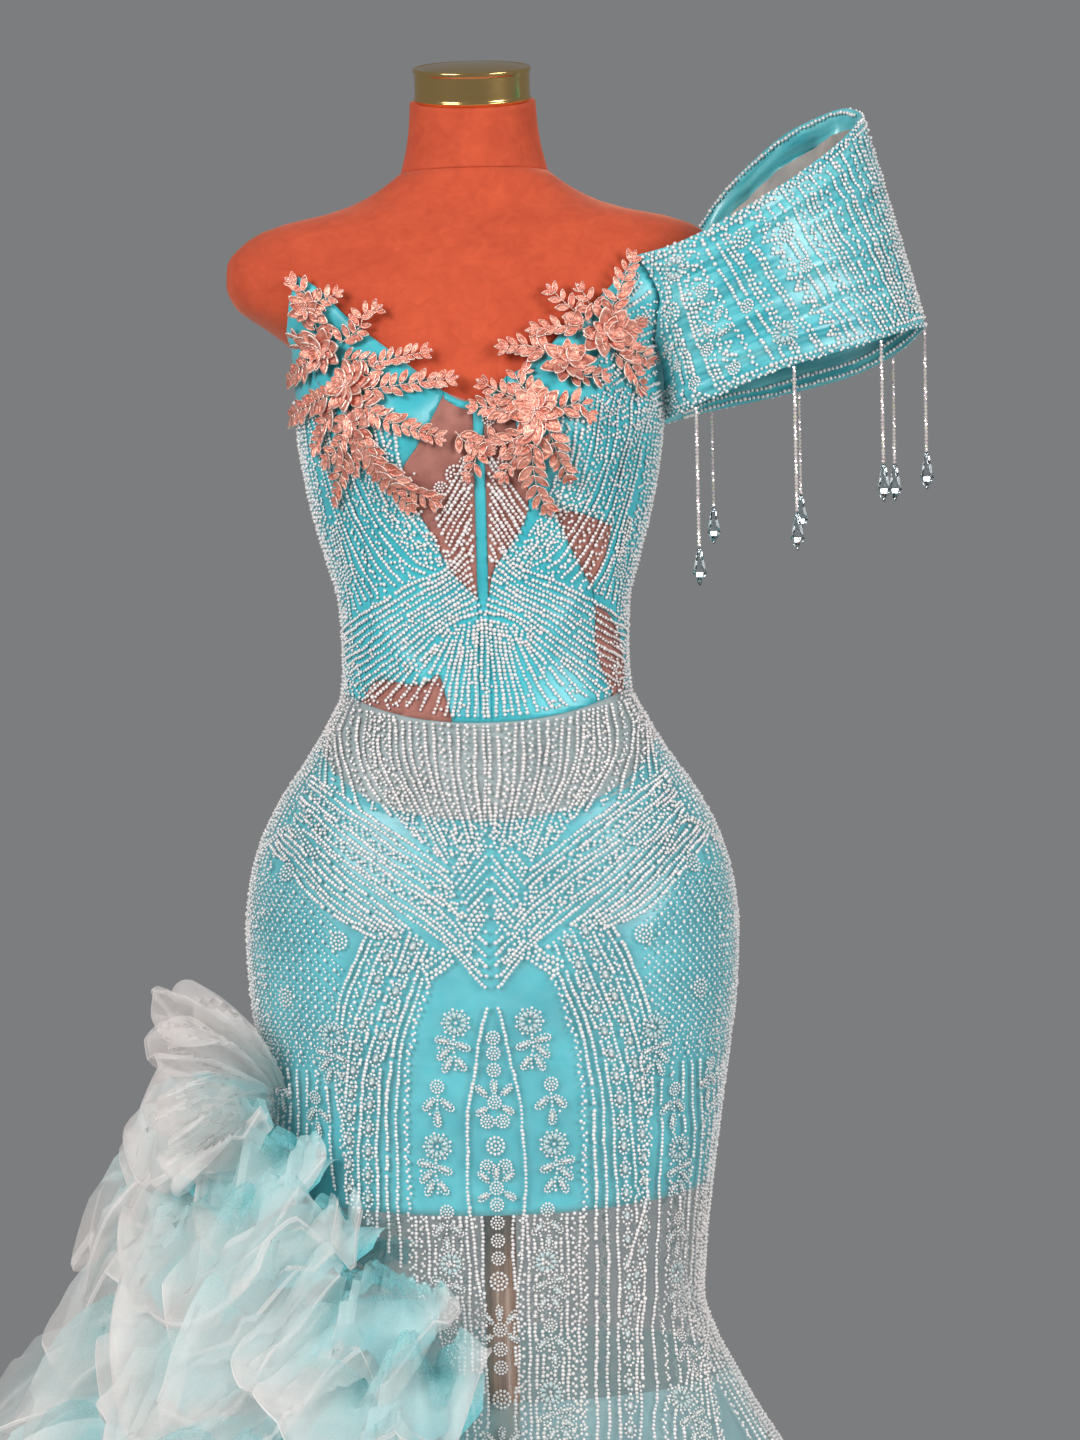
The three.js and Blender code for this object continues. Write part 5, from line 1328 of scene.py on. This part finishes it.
# ---------------------------------------------------------------- beadwork of the sleeve
# Rows cross the band from its upper to its lower edge, closest at its outer end, with single
# rosettes and flowers between them. Both edges are bound with a rope of beads and larger pearls.
SLEEVE_GROUND = (charted(sleeve_out, (0, 0), (1, 1), (301, 81)), 0.003, 0.004)
SLEEVE_INSIDE = (lambda a, b, out=0.0: SLEEVE_GROUND[0](a, b, -SLEEVE_WALL - out), 0.003, 0.004)
SLEEVE_ROWS = [
    # station at the upper edge, at the lower edge, style
    (0.005, 0.055, "rope"), (0.035, 0.115, "double"), (0.048, 0.128, "plain"), (0.105, 0.205, "rope"),
    (0.118, 0.215, "zigzag"), (0.165, 0.280, "plain"), (0.205, 0.320, "double"), (0.213, 0.330, "rope"),
    (0.270, 0.395, "zigzag"), (0.285, 0.402, "rope"), (0.325, 0.425, "plain"), (0.075, 0.165, "plain"),
    (0.140, 0.250, "rope"), (0.186, 0.300, "plain"), (0.238, 0.362, "double"), (0.305, 0.413, "plain"),
    (0.020, 0.088, "plain"), (0.088, 0.182, "double"),
]
SLEEVE_MOTIFS = [
    # motif, station, share, turned
    (ROSETTE, 0.035, 0.42, 0), (ROSETTE, 0.072, 0.62, 0), (FLOWER, 0.090, 0.86, 0),
    (DISC, 0.110, 0.14, 0), (FLEUR, 0.150, 0.30, 2.6), (DISC, 0.240, 0.44, 0), (FLOWER, 0.300, 0.20, 0),
    (ROSETTE, 0.250, 0.84, 0),
    (DISC, 0.360, 0.52, 0), (FLOWER, 0.020, 0.12, 0), (DISC, 0.062, 0.30, 0), (DISC, 0.200, 0.12, 0),
    (ROSETTE, 0.340, 0.74, 0), (DISC, 0.155, 0.66, 0),
]
EDGE_ROWS = ((0.012, 0.042), (0.988, 0.958))
EDGE_PEARL, EDGE_PEARL_PITCH = 0.0046, 0.026
OUTER_ROWS, INNER_ROWS = 15, 12


def edge_path(share, start=0.0, end=1.0, count=80):
    """A path along the band, near one of its edges."""
    return [(station, share) for station in np.linspace(start, end, count)]


def cross_path(low, top, start=0.03, end=0.97):
    """A path across the band, from its lower edge to its upper."""
    return [(low + (top - low) * share, share) for share in np.linspace(start, end, 16)]


for marks, station, share, turned_by in SLEEVE_MOTIFS:
    motif(SLEEVE_GROUND, (station, share), marks, turned_by)
for edge, second in EDGE_ROWS:
    row(SLEEVE_GROUND, edge_path(edge), "rope")
    row(SLEEVE_GROUND, edge_path(second), "plain", PITCH * 1.3)
    places, _ = paced(SLEEVE_GROUND, edge_path(edge), EDGE_PEARL_PITCH)
    sew("pearl", SLEEVE_GROUND, places, EDGE_PEARL)
for top, low, style in SLEEVE_ROWS:
    row(SLEEVE_GROUND, cross_path(low, top, 0.04, 0.96), style)
for i in range(OUTER_ROWS):
    row(SLEEVE_GROUND, cross_path(0.440 + 0.0088 * i, 0.345 + 0.0150 * i),
        ("plain", "rope", "plain", "double")[i % 4])
for i in range(INNER_ROWS):
    station = 0.59 + 0.034 * i
    swayed = [(station + 0.02 * math.sin(3 * share), share) for share in np.linspace(0.03, 0.97, 16)]
    row(SLEEVE_GROUND, swayed, ("plain", "rope", "zigzag")[i % 3], PITCH * 1.25)
for edge in (0.015, 0.05, 0.985):
    row(SLEEVE_INSIDE, edge_path(edge, 0.58, 0.97, 60), "plain", PITCH * 1.2)
finish_beadwork("sleeve")

# ---------------------------------------------------------------- ruffle cascade
# Strips of crisp glitter tulle are folded double and gathered by hand into loops. They are sewn to
# the gown in eleven tiers, from a balloon at the right hip of the wearer down to the floor.
TIERS = [
    # sewn height, front turn, back turn, reach, drop
    (742, -42, -138, 122, 58), (690, -27, -148, 168, 84), (634, -13, -157, 192, 86),
    (576, -3, -165, 238, 92), (514, 3, -171, 288, 98), (440, 5, -176, 316, 104),
    (358, 5, -176, 310, 104), (276, 5, -176, 306, 104),
    (196, 5, -176, 300, 104), (118, 5, -176, 292, 84),
]
TIER_RISE, WAVE_COUNT, WAVE_HEIGHT = 0.016, 9, 0.020
TIER_SEAT, FLARE_SEAT = 0.00835, 0.0088
EDGE_POWER = 2.0                         # crowds the rows of a loop towards its outer fold
SOFT_FOLD, SHARP_FOLD, CROSS_FOLD, LAYER_FOLD = 0.020, 0.0080, 0.050, 0.010


def spoke(turn):
    angle = np.radians(turn)
    return np.stack([np.sin(angle), -np.cos(angle), 0 * angle], axis=-1)


def tier_point(tier, turn, v):
    height, front, back, reach, drop = np.array(tier) * (0.001, 1, 1, 0.001, 0.001)
    along = np.clip((turn - front) / (back - front), 0, 1)
    spread = 0.22 + 0.78 * np.sin(np.pi * along) ** 0.8
    point = off_figure(turn, height + 0 * turn, TIER_SEAT if height > KNEE_SEAM else FLARE_SEAT)
    point = point + spoke(turn) * (reach * spread * v)[..., None]
    point[..., 2] += ((TIER_RISE * np.sin(np.pi * v) - drop * v * v) * spread
                      + np.sin(np.radians(turn) * WAVE_COUNT) * WAVE_HEIGHT * v * spread)
    return point


def crisp(share, seed, folds=9):
    """A jagged line of sharp folds, uneven in depth and spacing, from -1 to 1."""
    draw = np.random.default_rng(seed)
    at = np.sort(np.concatenate(([0, 1], draw.uniform(0.03, 0.97, folds))))
    depth = draw.uniform(0.35, 1, folds + 2) * (-1.0) ** np.arange(folds + 2)
    return np.interp(share, at, depth)


def billow(share, seed, folds):
    """The same line with rounded folds, as where the tulle is blown out."""
    return np.sin(np.pi / 2 * crisp(np.clip(share, 0, 1), seed, folds))


def loop_shares(w):
    """Share of the way out, and +1 on the upper or -1 on the lower layer of a doubled loop."""
    return 1 - np.abs(2 * w - 1) ** EDGE_POWER, np.where(w > 0.5, 1.0, -1.0)


def crumple(u, v, layer, seed, ribs=1.0):
    """Height of the folds of one loop: they run out from its gathers and break across."""
    out = billow(u, seed, 3) * (0.25 + 0.75 * v) * SOFT_FOLD
    swung = np.clip(u + 0.22 * v * billow(v, seed + 6, 2), 0, 1)
    out += crisp(swung, seed + 1, 5) * v * SHARP_FOLD * ribs
    broken = np.clip(v + 0.34 * crisp(u, seed + 2, 3), 0, 1)
    out += crisp(broken, seed + 3, 4) * v * (1 - v) * CROSS_FOLD
    return out + layer * billow(u, seed + 4, 4) * np.sin(np.pi * v) * LAYER_FOLD


def fan(tier, centre, half_width, length, puff, lift, seed):
    """Places one gathered loop of a tier."""
    def place(u, w):
        v, layer = loop_shares(w)
        pinch = 0.14 + 0.86 * np.sin(np.pi / 2 * v) ** 1.1
        turn = centre + half_width * (2 * u - 1) * pinch
        share = v * length * (1 - 0.34 * np.abs(2 * u - 1) ** 2.4 + 0.09 * crisp(u, seed + 5, 4))
        point = tier_point(tier, turn, np.clip(share, 0, 1.06))
        blown = layer * puff * np.sin(np.pi * np.clip(v, 0, 1)) ** 0.6 * (1 - 0.6 * (2 * u - 1) ** 2)
        fold = crumple(u, v, layer, seed) + blown + lift * v
        point = point + spoke(turn) * (0.35 * fold)[..., None]
        point[..., 2] += fold
        return point
    return place


LOOP_TONES = (
    # share out, colour
    (0.0, (0.10, 0.62, 0.68)), (0.44, (0.34, 0.82, 0.84)), (0.76, (0.82, 0.91, 0.89)),
    (1.0, (1.0, 0.88, 0.845)),
)
FOLD_TONES = ((0.0, (0.93, 0.88, 0.86)), (1.0, (0.98, 0.90, 0.88)))
UNDER_TONES = ((0.0, (0.16, 0.66, 0.72)), (0.5, (0.28, 0.78, 0.82)), (1.0, (0.52, 0.88, 0.90)))
BALLOON_TONES = ((0.0, (0.66, 0.86, 0.86)), (0.4, (0.90, 0.89, 0.87)), (1.0, (1.0, 0.90, 0.87)))


def glitter_tulle(name, alpha, tones):
    """Tulle dyed in tones from its gathers to its outer fold, with glitter and cloudy patches."""
    made = material(name, (0.8, 0.75, 0.73), 0.5, Alpha=alpha, Sheen_Weight=0.35)
    nodes, links, shader = tree_of(made)
    split = nodes.new("ShaderNodeSeparateXYZ")
    links.new(nodes.new("ShaderNodeTexCoord").outputs["UV"], split.inputs["Vector"])
    share = split.outputs["Y"]
    # The share out is 1 - |2 w - 1| ** EDGE_POWER, as in loop_shares.
    for operation, value, at in (("SUBTRACT", 0.5, 1), ("ABSOLUTE", 0, 1), ("MULTIPLY", 2, 1),
                                 ("POWER", EDGE_POWER, 1), ("SUBTRACT", 1, 0)):
        step = nodes.new("ShaderNodeMath")
        step.operation = operation
        step.inputs[at].default_value = value
        links.new(share, step.inputs[1 - at])
        share = step.outputs["Value"]
    colour = shaded(made, share, tones)
    glitter, patches = noise_on(made, 520, 3), noise_on(made, 9, 4)
    for texture, way, factor in ((glitter, "OVERLAY", 0.75), (patches, "SOFT_LIGHT", 0.5)):
        blend = nodes.new("ShaderNodeMix")
        blend.data_type, blend.blend_type = "RGBA", way
        blend.inputs["Factor"].default_value = factor
        links.new(colour, blend.inputs["A"])
        links.new(texture, blend.inputs["B"])
        colour = blend.outputs["Result"]
    links.new(colour, shader["Base Color"])
    raised(made, glitter, 0.35, 0.0003)
    return made


loop_tulle = glitter_tulle("loop_tulle", 0.31, LOOP_TONES)
fold_edge = glitter_tulle("loop_fold", 0.58, FOLD_TONES)
lining_tulle = glitter_tulle("under_tulle", 0.7, UNDER_TONES)
balloon_tulle = glitter_tulle("balloon_tulle", 0.32, BALLOON_TONES)
LOOP_COLUMNS, LOOP_ROWS = 52, 26
CREASE_ANGLE = math.radians(32)          # folds sharper than this show as a crease


def add_loop(bm, place, columns=LOOP_COLUMNS, rows=LOOP_ROWS):
    """Adds one doubled loop to a tier; the faces along its outer fold take the second material."""
    part = skin(columns, rows, place)
    layer = part.loops.layers.uv.active
    for face in part.faces:
        middle = sum(loop[layer].uv.y for loop in face.loops) / len(face.loops)
        face.material_index = 1 if abs(middle - 0.5) < 1 / rows else 0
    mesh = bpy.data.meshes.new("part")
    part.to_mesh(mesh)
    part.free()
    bm.from_mesh(mesh)
    bpy.data.meshes.remove(mesh)


TIER_FANS = [
    # centre as a share of the tier, half width in degrees, length, puff, lift
    (0.10, 18, 1.30, 0.024, 0.006), (0.24, 23, 1.02, 0.034, 0.022), (0.40, 25, 1.00, 0.038, -0.014),
    (0.56, 25, 0.98, 0.036, 0.024), (0.73, 24, 1.00, 0.034, -0.010), (0.89, 21, 1.10, 0.026, 0.014),
]
TIER_CUTS = [
    # loops: width of the strip before it is folded, and its length; the same for the sheet under them
    (0.30, 0.90, 0.105, 0.35), (0.40, 0.99, 0.145, 0.45), (0.44, 1.02, 0.165, 0.53),
    (0.54, 1.00, 0.205, 0.61), (0.64, 1.17, 0.250, 0.74), (0.70, 1.28, 0.270, 0.94),
    (0.68, 1.34, 0.270, 1.02), (0.68, 1.50, 0.265, 1.14), (0.66, 1.60, 0.260, 1.22),
    (0.64, 1.68, 0.250, 1.27),
]
for number, (tier, cut) in enumerate(zip(TIERS, TIER_CUTS)):
    height, front, back, _, _ = tier
    bm = bmesh.new()
    bm.loops.layers.uv.new("UVMap")
    draw = np.random.default_rng(100 + number)
    for place_in_tier, (share, half_width, length, puff, lift) in enumerate(TIER_FANS):
        centre = front + (back - front) * (share + draw.uniform(-0.03, 0.03))
        wide = half_width * (abs(back - front) / 170) ** 0.6 * draw.uniform(0.85, 1.2)
        long, high = length * draw.uniform(0.84, 1.04), lift + draw.uniform(-0.014, 0.014)
        add_loop(bm, fan(tier, centre, wide, long, puff, high, 1000 + number * 60 + place_in_tier * 9))
    piece = piece_of(bm, f"tier_loops_{number + 2}", loop_tulle, "glitter_tulle", f"ruffle_{number + 2}")
    piece.data.materials.append(fold_edge)
    piece.data.set_sharp_from_angle(angle=CREASE_ANGLE)

    def under(u, w):
        turn = front + (back - front) * u
        v = w * 0.86
        point = tier_point(tier, turn, v)
        point[..., 2] += crisp(u, 300 + number, 40) * 0.012 * v - 0.012 * v
        return point
    bm = skin(150, 10, under)
    lining = piece_of(bm, f"tier_under_{number + 2}", lining_tulle, "glitter_tulle")

# The balloon at the top of the cascade: three crumpled loops from one gather.
PUFF_TURN, PUFF_HEIGHT, PUFF_REACH, PUFF_RISE, PUFF_WIDE = -66, 0.782, 0.128, 0.084, 0.074
PUFF_LOOPS = [
    # from angle, to angle, length, puff, seed
    (34, 118, 1.0, 0.036, 7100), (-14, 62, 1.02, 0.034, 7210), (-46, 20, 0.98, 0.028, 7320),
    (64, 132, 0.80, 0.024, 7430),
]


def balloon(start, end, length, puff, seed):
    outwards = spoke(np.array(PUFF_TURN))
    sideways = np.array([-outwards[1], outwards[0], 0])

    def place(u, w):
        v, layer = loop_shares(w)
        middle = (start + end) / 2
        opened = 0.3 + 0.7 * np.sin(np.pi / 2 * v)
        angle = np.radians(middle + (start + (end - start) * u - middle) * opened)
        side = np.cos(1.3 * angle)
        root = off_figure(PUFF_TURN - 5 * side, PUFF_HEIGHT + 0.014 * np.sin(angle), FLARE_SEAT)
        far = v * length * (1 - 0.16 * np.abs(2 * u - 1) ** 3 + 0.09 * crisp(u, seed + 7, 4))
        root = root + outwards * (PUFF_REACH * far * np.cos(0.6 * angle))[..., None]
        root = root + sideways * (PUFF_WIDE * far * side)[..., None]
        root[..., 2] += PUFF_RISE * far * np.sin(angle)
        fold = crumple(u, v, layer, seed, 0.3) + layer * puff * np.sin(np.pi * v) ** 0.6
        facing = unit(sideways + np.array([0, 0, 0.45]) + outwards * 0.2)
        return root + facing * fold[..., None]
    return place


bm = bmesh.new()
bm.loops.layers.uv.new("UVMap")
for start, end, length, puff, seed in PUFF_LOOPS:
    add_loop(bm, balloon(start, end, length, puff, seed), 60, 34)
piece = piece_of(bm, "top_balloon", balloon_tulle, "glitter_tulle", "ruffle_1")
piece.data.materials.append(fold_edge)
piece.data.set_sharp_from_angle(angle=CREASE_ANGLE)

# ---------------------------------------------------------------- embroidered flower sprays
# Corded leaves and petals, stitched in metallic rose thread on net and cut out, branch over the cups
# and the neckline. They are tacked on at their stems, with small crystals at their tips.
SPRAY_LIFT = 0.0030
BRANCHES = {
    "spray_left": [
        # leaf length, path in millimetres on the front
        (11, (-86, 1339), (-74, 1353), (-58, 1360), (-40, 1364)),
        (12, (-86, 1335), (-66, 1336), (-43, 1340), (-22, 1344)),
        (12, (-88, 1328), (-67, 1312), (-44, 1305), (-34, 1301)),
        (14, (-90, 1325), (-82, 1297), (-64, 1273), (-36, 1254)),
        (13, (-93, 1321), (-101, 1298), (-114, 1286)),
        (12, (-84, 1306), (-75, 1278), (-66, 1268), (-53, 1251)),
        (13, (-100, 1335), (-121, 1330), (-143, 1321)), (12, (-103, 1326), (-116, 1308), (-122, 1296)),
        (12, (-95, 1297), (-102, 1274), (-107, 1257)),
        (13, (-115, 1377), (-124, 1398), (-130, 1415), (-140, 1423)),
        (11, (-128, 1408), (-118, 1409), (-105, 1413)), (12, (-120, 1375), (-131, 1380), (-138, 1390)),
        (12, (-123, 1363), (-134, 1356), (-142, 1351)),
        (11, (-102, 1376), (-88, 1387), (-85, 1397), (-75, 1401)),
        (11, (-100, 1362), (-88, 1359), (-77, 1356)), (12, (-96, 1322), (-88, 1300), (-90, 1280)),
    ],
    "spray_right": [
        (13, (95, 1386), (108, 1409), (116, 1426), (120, 1434)), (11, (107, 1381), (124, 1389)),
        (12, (104, 1369), (126, 1358)), (12, (102, 1362), (116, 1345), (122, 1334)),
        (12, (86, 1386), (69, 1400), (58, 1411)), (11, (89, 1393), (84, 1405), (79, 1412)),
        (13, (81, 1381), (62, 1383), (44, 1380)), (13, (56, 1362), (38, 1367), (21, 1367)),
        (12, (68, 1345), (82, 1340), (92, 1341)), (12, (39, 1322), (20, 1332), (5, 1340)),
        (11, (42, 1329), (32, 1341), (38, 1348)), (12, (34, 1317), (11, 1322), (-4, 1323)),
        (14, (48, 1305), (43, 1282), (45, 1261), (50, 1248)), (12, (55, 1305), (62, 1284), (67, 1272)),
        (12, (43, 1298), (29, 1285), (19, 1271)), (12, (60, 1316), (74, 1321), (82, 1313)),
        (12, (39, 1303), (20, 1294), (12, 1296)),
    ],
    "spray_bridge": [
        (11, (-20, 1305), (-11, 1297), (1, 1295)), (11, (17, 1294), (8, 1297), (-4, 1292)),
        (11, (-2, 1292), (-4, 1281), (-11, 1272)), (9, (0, 1285), (5, 1290), (11, 1291)),
    ],
}
FLOWERS = {
    "spray_left": [
        # x, z, petals, petal length
        (-94, 1338, 8, 17), (-115, 1372, 8, 16), (-127, 1404, 6, 12),
    ],
    "spray_right": [(48, 1316, 8, 17), (67, 1352, 7, 15), (95, 1378, 8, 17)],
    "spray_bridge": [],
}
LEAF_PROFILE = [
    # radius, height: a raised cord round the edge, and a low ridge in the middle
    (0.0, -0.16), (0.92, -0.10), (1.0, 0.20), (0.88, 0.50), (0.74, 0.10), (0.30, 0.26), (0.0, 0.60),
]
CORD_RADIUS = 0.8
LEAF_SCALE, PETAL_SCALE = 1.22, 1.3
LEAF_SIDES = 10
CLUSTER, CLUSTER_STEP = 9, 2.4           # crystals in the middle of a flower, and radians between them

bm = bmesh.new()
verts = [bm.verts.new((radius, 0, height)) for radius, height in LEAF_PROFILE]
edges = [bm.edges.new(pair) for pair in zip(verts, verts[1:])]
bmesh.ops.spin(bm, geom=verts + edges, cent=(0, 0, 0), axis=(0, 0, 1), angle=math.tau,
               steps=LEAF_SIDES, use_merge=True)
bmesh.ops.remove_doubles(bm, verts=bm.verts, dist=1e-4)
bmesh.ops.recalc_face_normals(bm, faces=bm.faces)
for face in bm.faces:
    face.material_index = 1 if math.hypot(*face.calc_center_median().xy) > CORD_RADIUS else 0
for vert in bm.verts:
    vert.co = (vert.co.x / 2, vert.co.y / 2 * (1 - 0.5 * vert.co.x ** 2), vert.co.z)
bmesh.ops.triangulate(bm, faces=bm.faces)
LEAF_SHAPE = shape_of(bm)

rose = material("rose_satin_stitch", (0.78, 0.30, 0.24), 0.36, Metallic=0.55, Sheen_Weight=0.2)
woven(mottled(rose, (0.64, 0.18, 0.12), (0.98, 0.44, 0.33), 130), 420, 0.5, 0.0003, "Object")
cord = material("rose_cord", (0.95, 0.68, 0.60), 0.32, Metallic=0.5, Coat_Weight=0.2)
woven(mottled(cord, (0.96, 0.60, 0.50), (1.0, 0.88, 0.80), 240), 600, 0.5, 0.0002, "Object")
rose_crystal = material("rose_crystal", (0.98, 0.66, 0.62), 0.08, Coat_Weight=1.0, Metallic=0.35)
mottled(rose_crystal, (0.95, 0.52, 0.50), (1.0, 0.86, 0.82), 300)


def spray_ground(turn, z):
    return off_figure(turn, z, bodice_out(turn, z) + SPRAY_LIFT)


SPRAY = (charted(spray_ground, (-100, 1.23), (100, 1.45), (201, 111)), 0.4, 0.001)
ABOVE_PETALS = (lambda a, b, out=0.0: SPRAY[0](a, b, 0.0055 + out), 0.4, 0.001)
draw = np.random.default_rng(23)


def stitch(places, long, wide, high, angle, lift=0.0):
    """Sews a leaf or a petal with its root at a place, tilted a little up from the cloth."""
    count = len(sewn)
    half_long = np.atleast_1d(long)[:, None] / 2
    steps = np.stack([np.cos(angle), np.sin(angle)], axis=-1) * half_long
    sew("leaf", SPRAY, places + steps / spans(SPRAY, places), long, wide, high, angle)
    for i in range(count, len(sewn)):
        kind, point, normal, along, *sizes = sewn[i]
        tilt = draw.uniform(0.0, 0.30)
        turned_along = unit(along + normal * tilt)
        turned_normal = unit(normal - along * tilt + np.cross(normal, along) * draw.uniform(-0.3, 0.3))
        point = point + normal * (lift + sizes[0] * tilt * 0.4)
        sewn[i] = (kind, point, turned_normal, turned_along, *sizes)


def branch(leaf, path):
    """A stem with leaves in pairs, smaller towards its tip, where a crystal is sewn."""
    line = to_turns(path)
    stem, angle = paced(SPRAY, line, 0.0022)
    sew("cord", SPRAY, stem, 0.0034, 0.0014, 0.0016, angle)
    roots, angle = paced(SPRAY, line, leaf * 0.00056)
    share = np.arange(len(roots)) / max(len(roots) - 1, 1)
    for side in (-1, 1):
        size = leaf / 1000 * LEAF_SCALE * (1.05 - 0.35 * share) * draw.uniform(0.85, 1.15, len(roots))
        lean = side * (0.85 - 0.2 * share + draw.uniform(-0.15, 0.15, len(roots)))
        stitch(roots, size, size * 0.46, 0.0024, angle + lean, 0.0006 * side)
    stitch(roots[-1:], np.array([leaf * 0.0009]), np.array([leaf * 0.0004]), 0.0022, angle[-1:])
    tip = line[-1:] + (line[-1:] - line[-2:-1]) * 1.1
    sew("crystal_bead", SPRAY, tip, 0.0032)


def flower(x, z, petals, length):
    """Three rounds of petals about a cluster of small rose crystals."""
    place = np.array([[float(turn_at(x / 1000, z / 1000)), z / 1000]])
    for number, (reach, lift) in enumerate(((1.12, 0.001), (0.86, 0.003), (0.58, 0.005))):
        for i in range(petals):
            angle = math.tau * (i + 0.5 * number) / petals + draw.uniform(-0.15, 0.15)
            size = length / 1000 * PETAL_SCALE * reach * draw.uniform(0.9, 1.1)
            stitch(place, np.array([size]), np.array([size * 0.5]), 0.003, np.array([angle]), lift)
    for i in range(CLUSTER):
        turn = i * CLUSTER_STEP
        away = np.array([math.cos(turn), math.sin(turn)]) * 0.0013 * math.sqrt(i)
        sew("crystal_bead", ABOVE_PETALS, place + away / spans(SPRAY, place), 0.0026)


for name, branches in BRANCHES.items():
    for leaf, *path in branches:
        branch(leaf, path)
    for x, z, petals, length in FLOWERS[name]:
        flower(x, z, petals, length)
    for part, kind, shape, finishes, slot in (
            ("leaves", "leaf", LEAF_SHAPE, [rose, cord], "rose_embroidery"),
            ("stems", "cord", ROUND_BEAD, [cord], "rose_embroidery"),
            ("crystals", "crystal_bead", ROUND_BEAD, [rose_crystal], "glass_beads")):
        chosen = [bead for bead in sewn if bead[0] == kind]
        joined(f"{name}_{part}", chosen, shape, finishes, slot, name)
    sewn.clear()
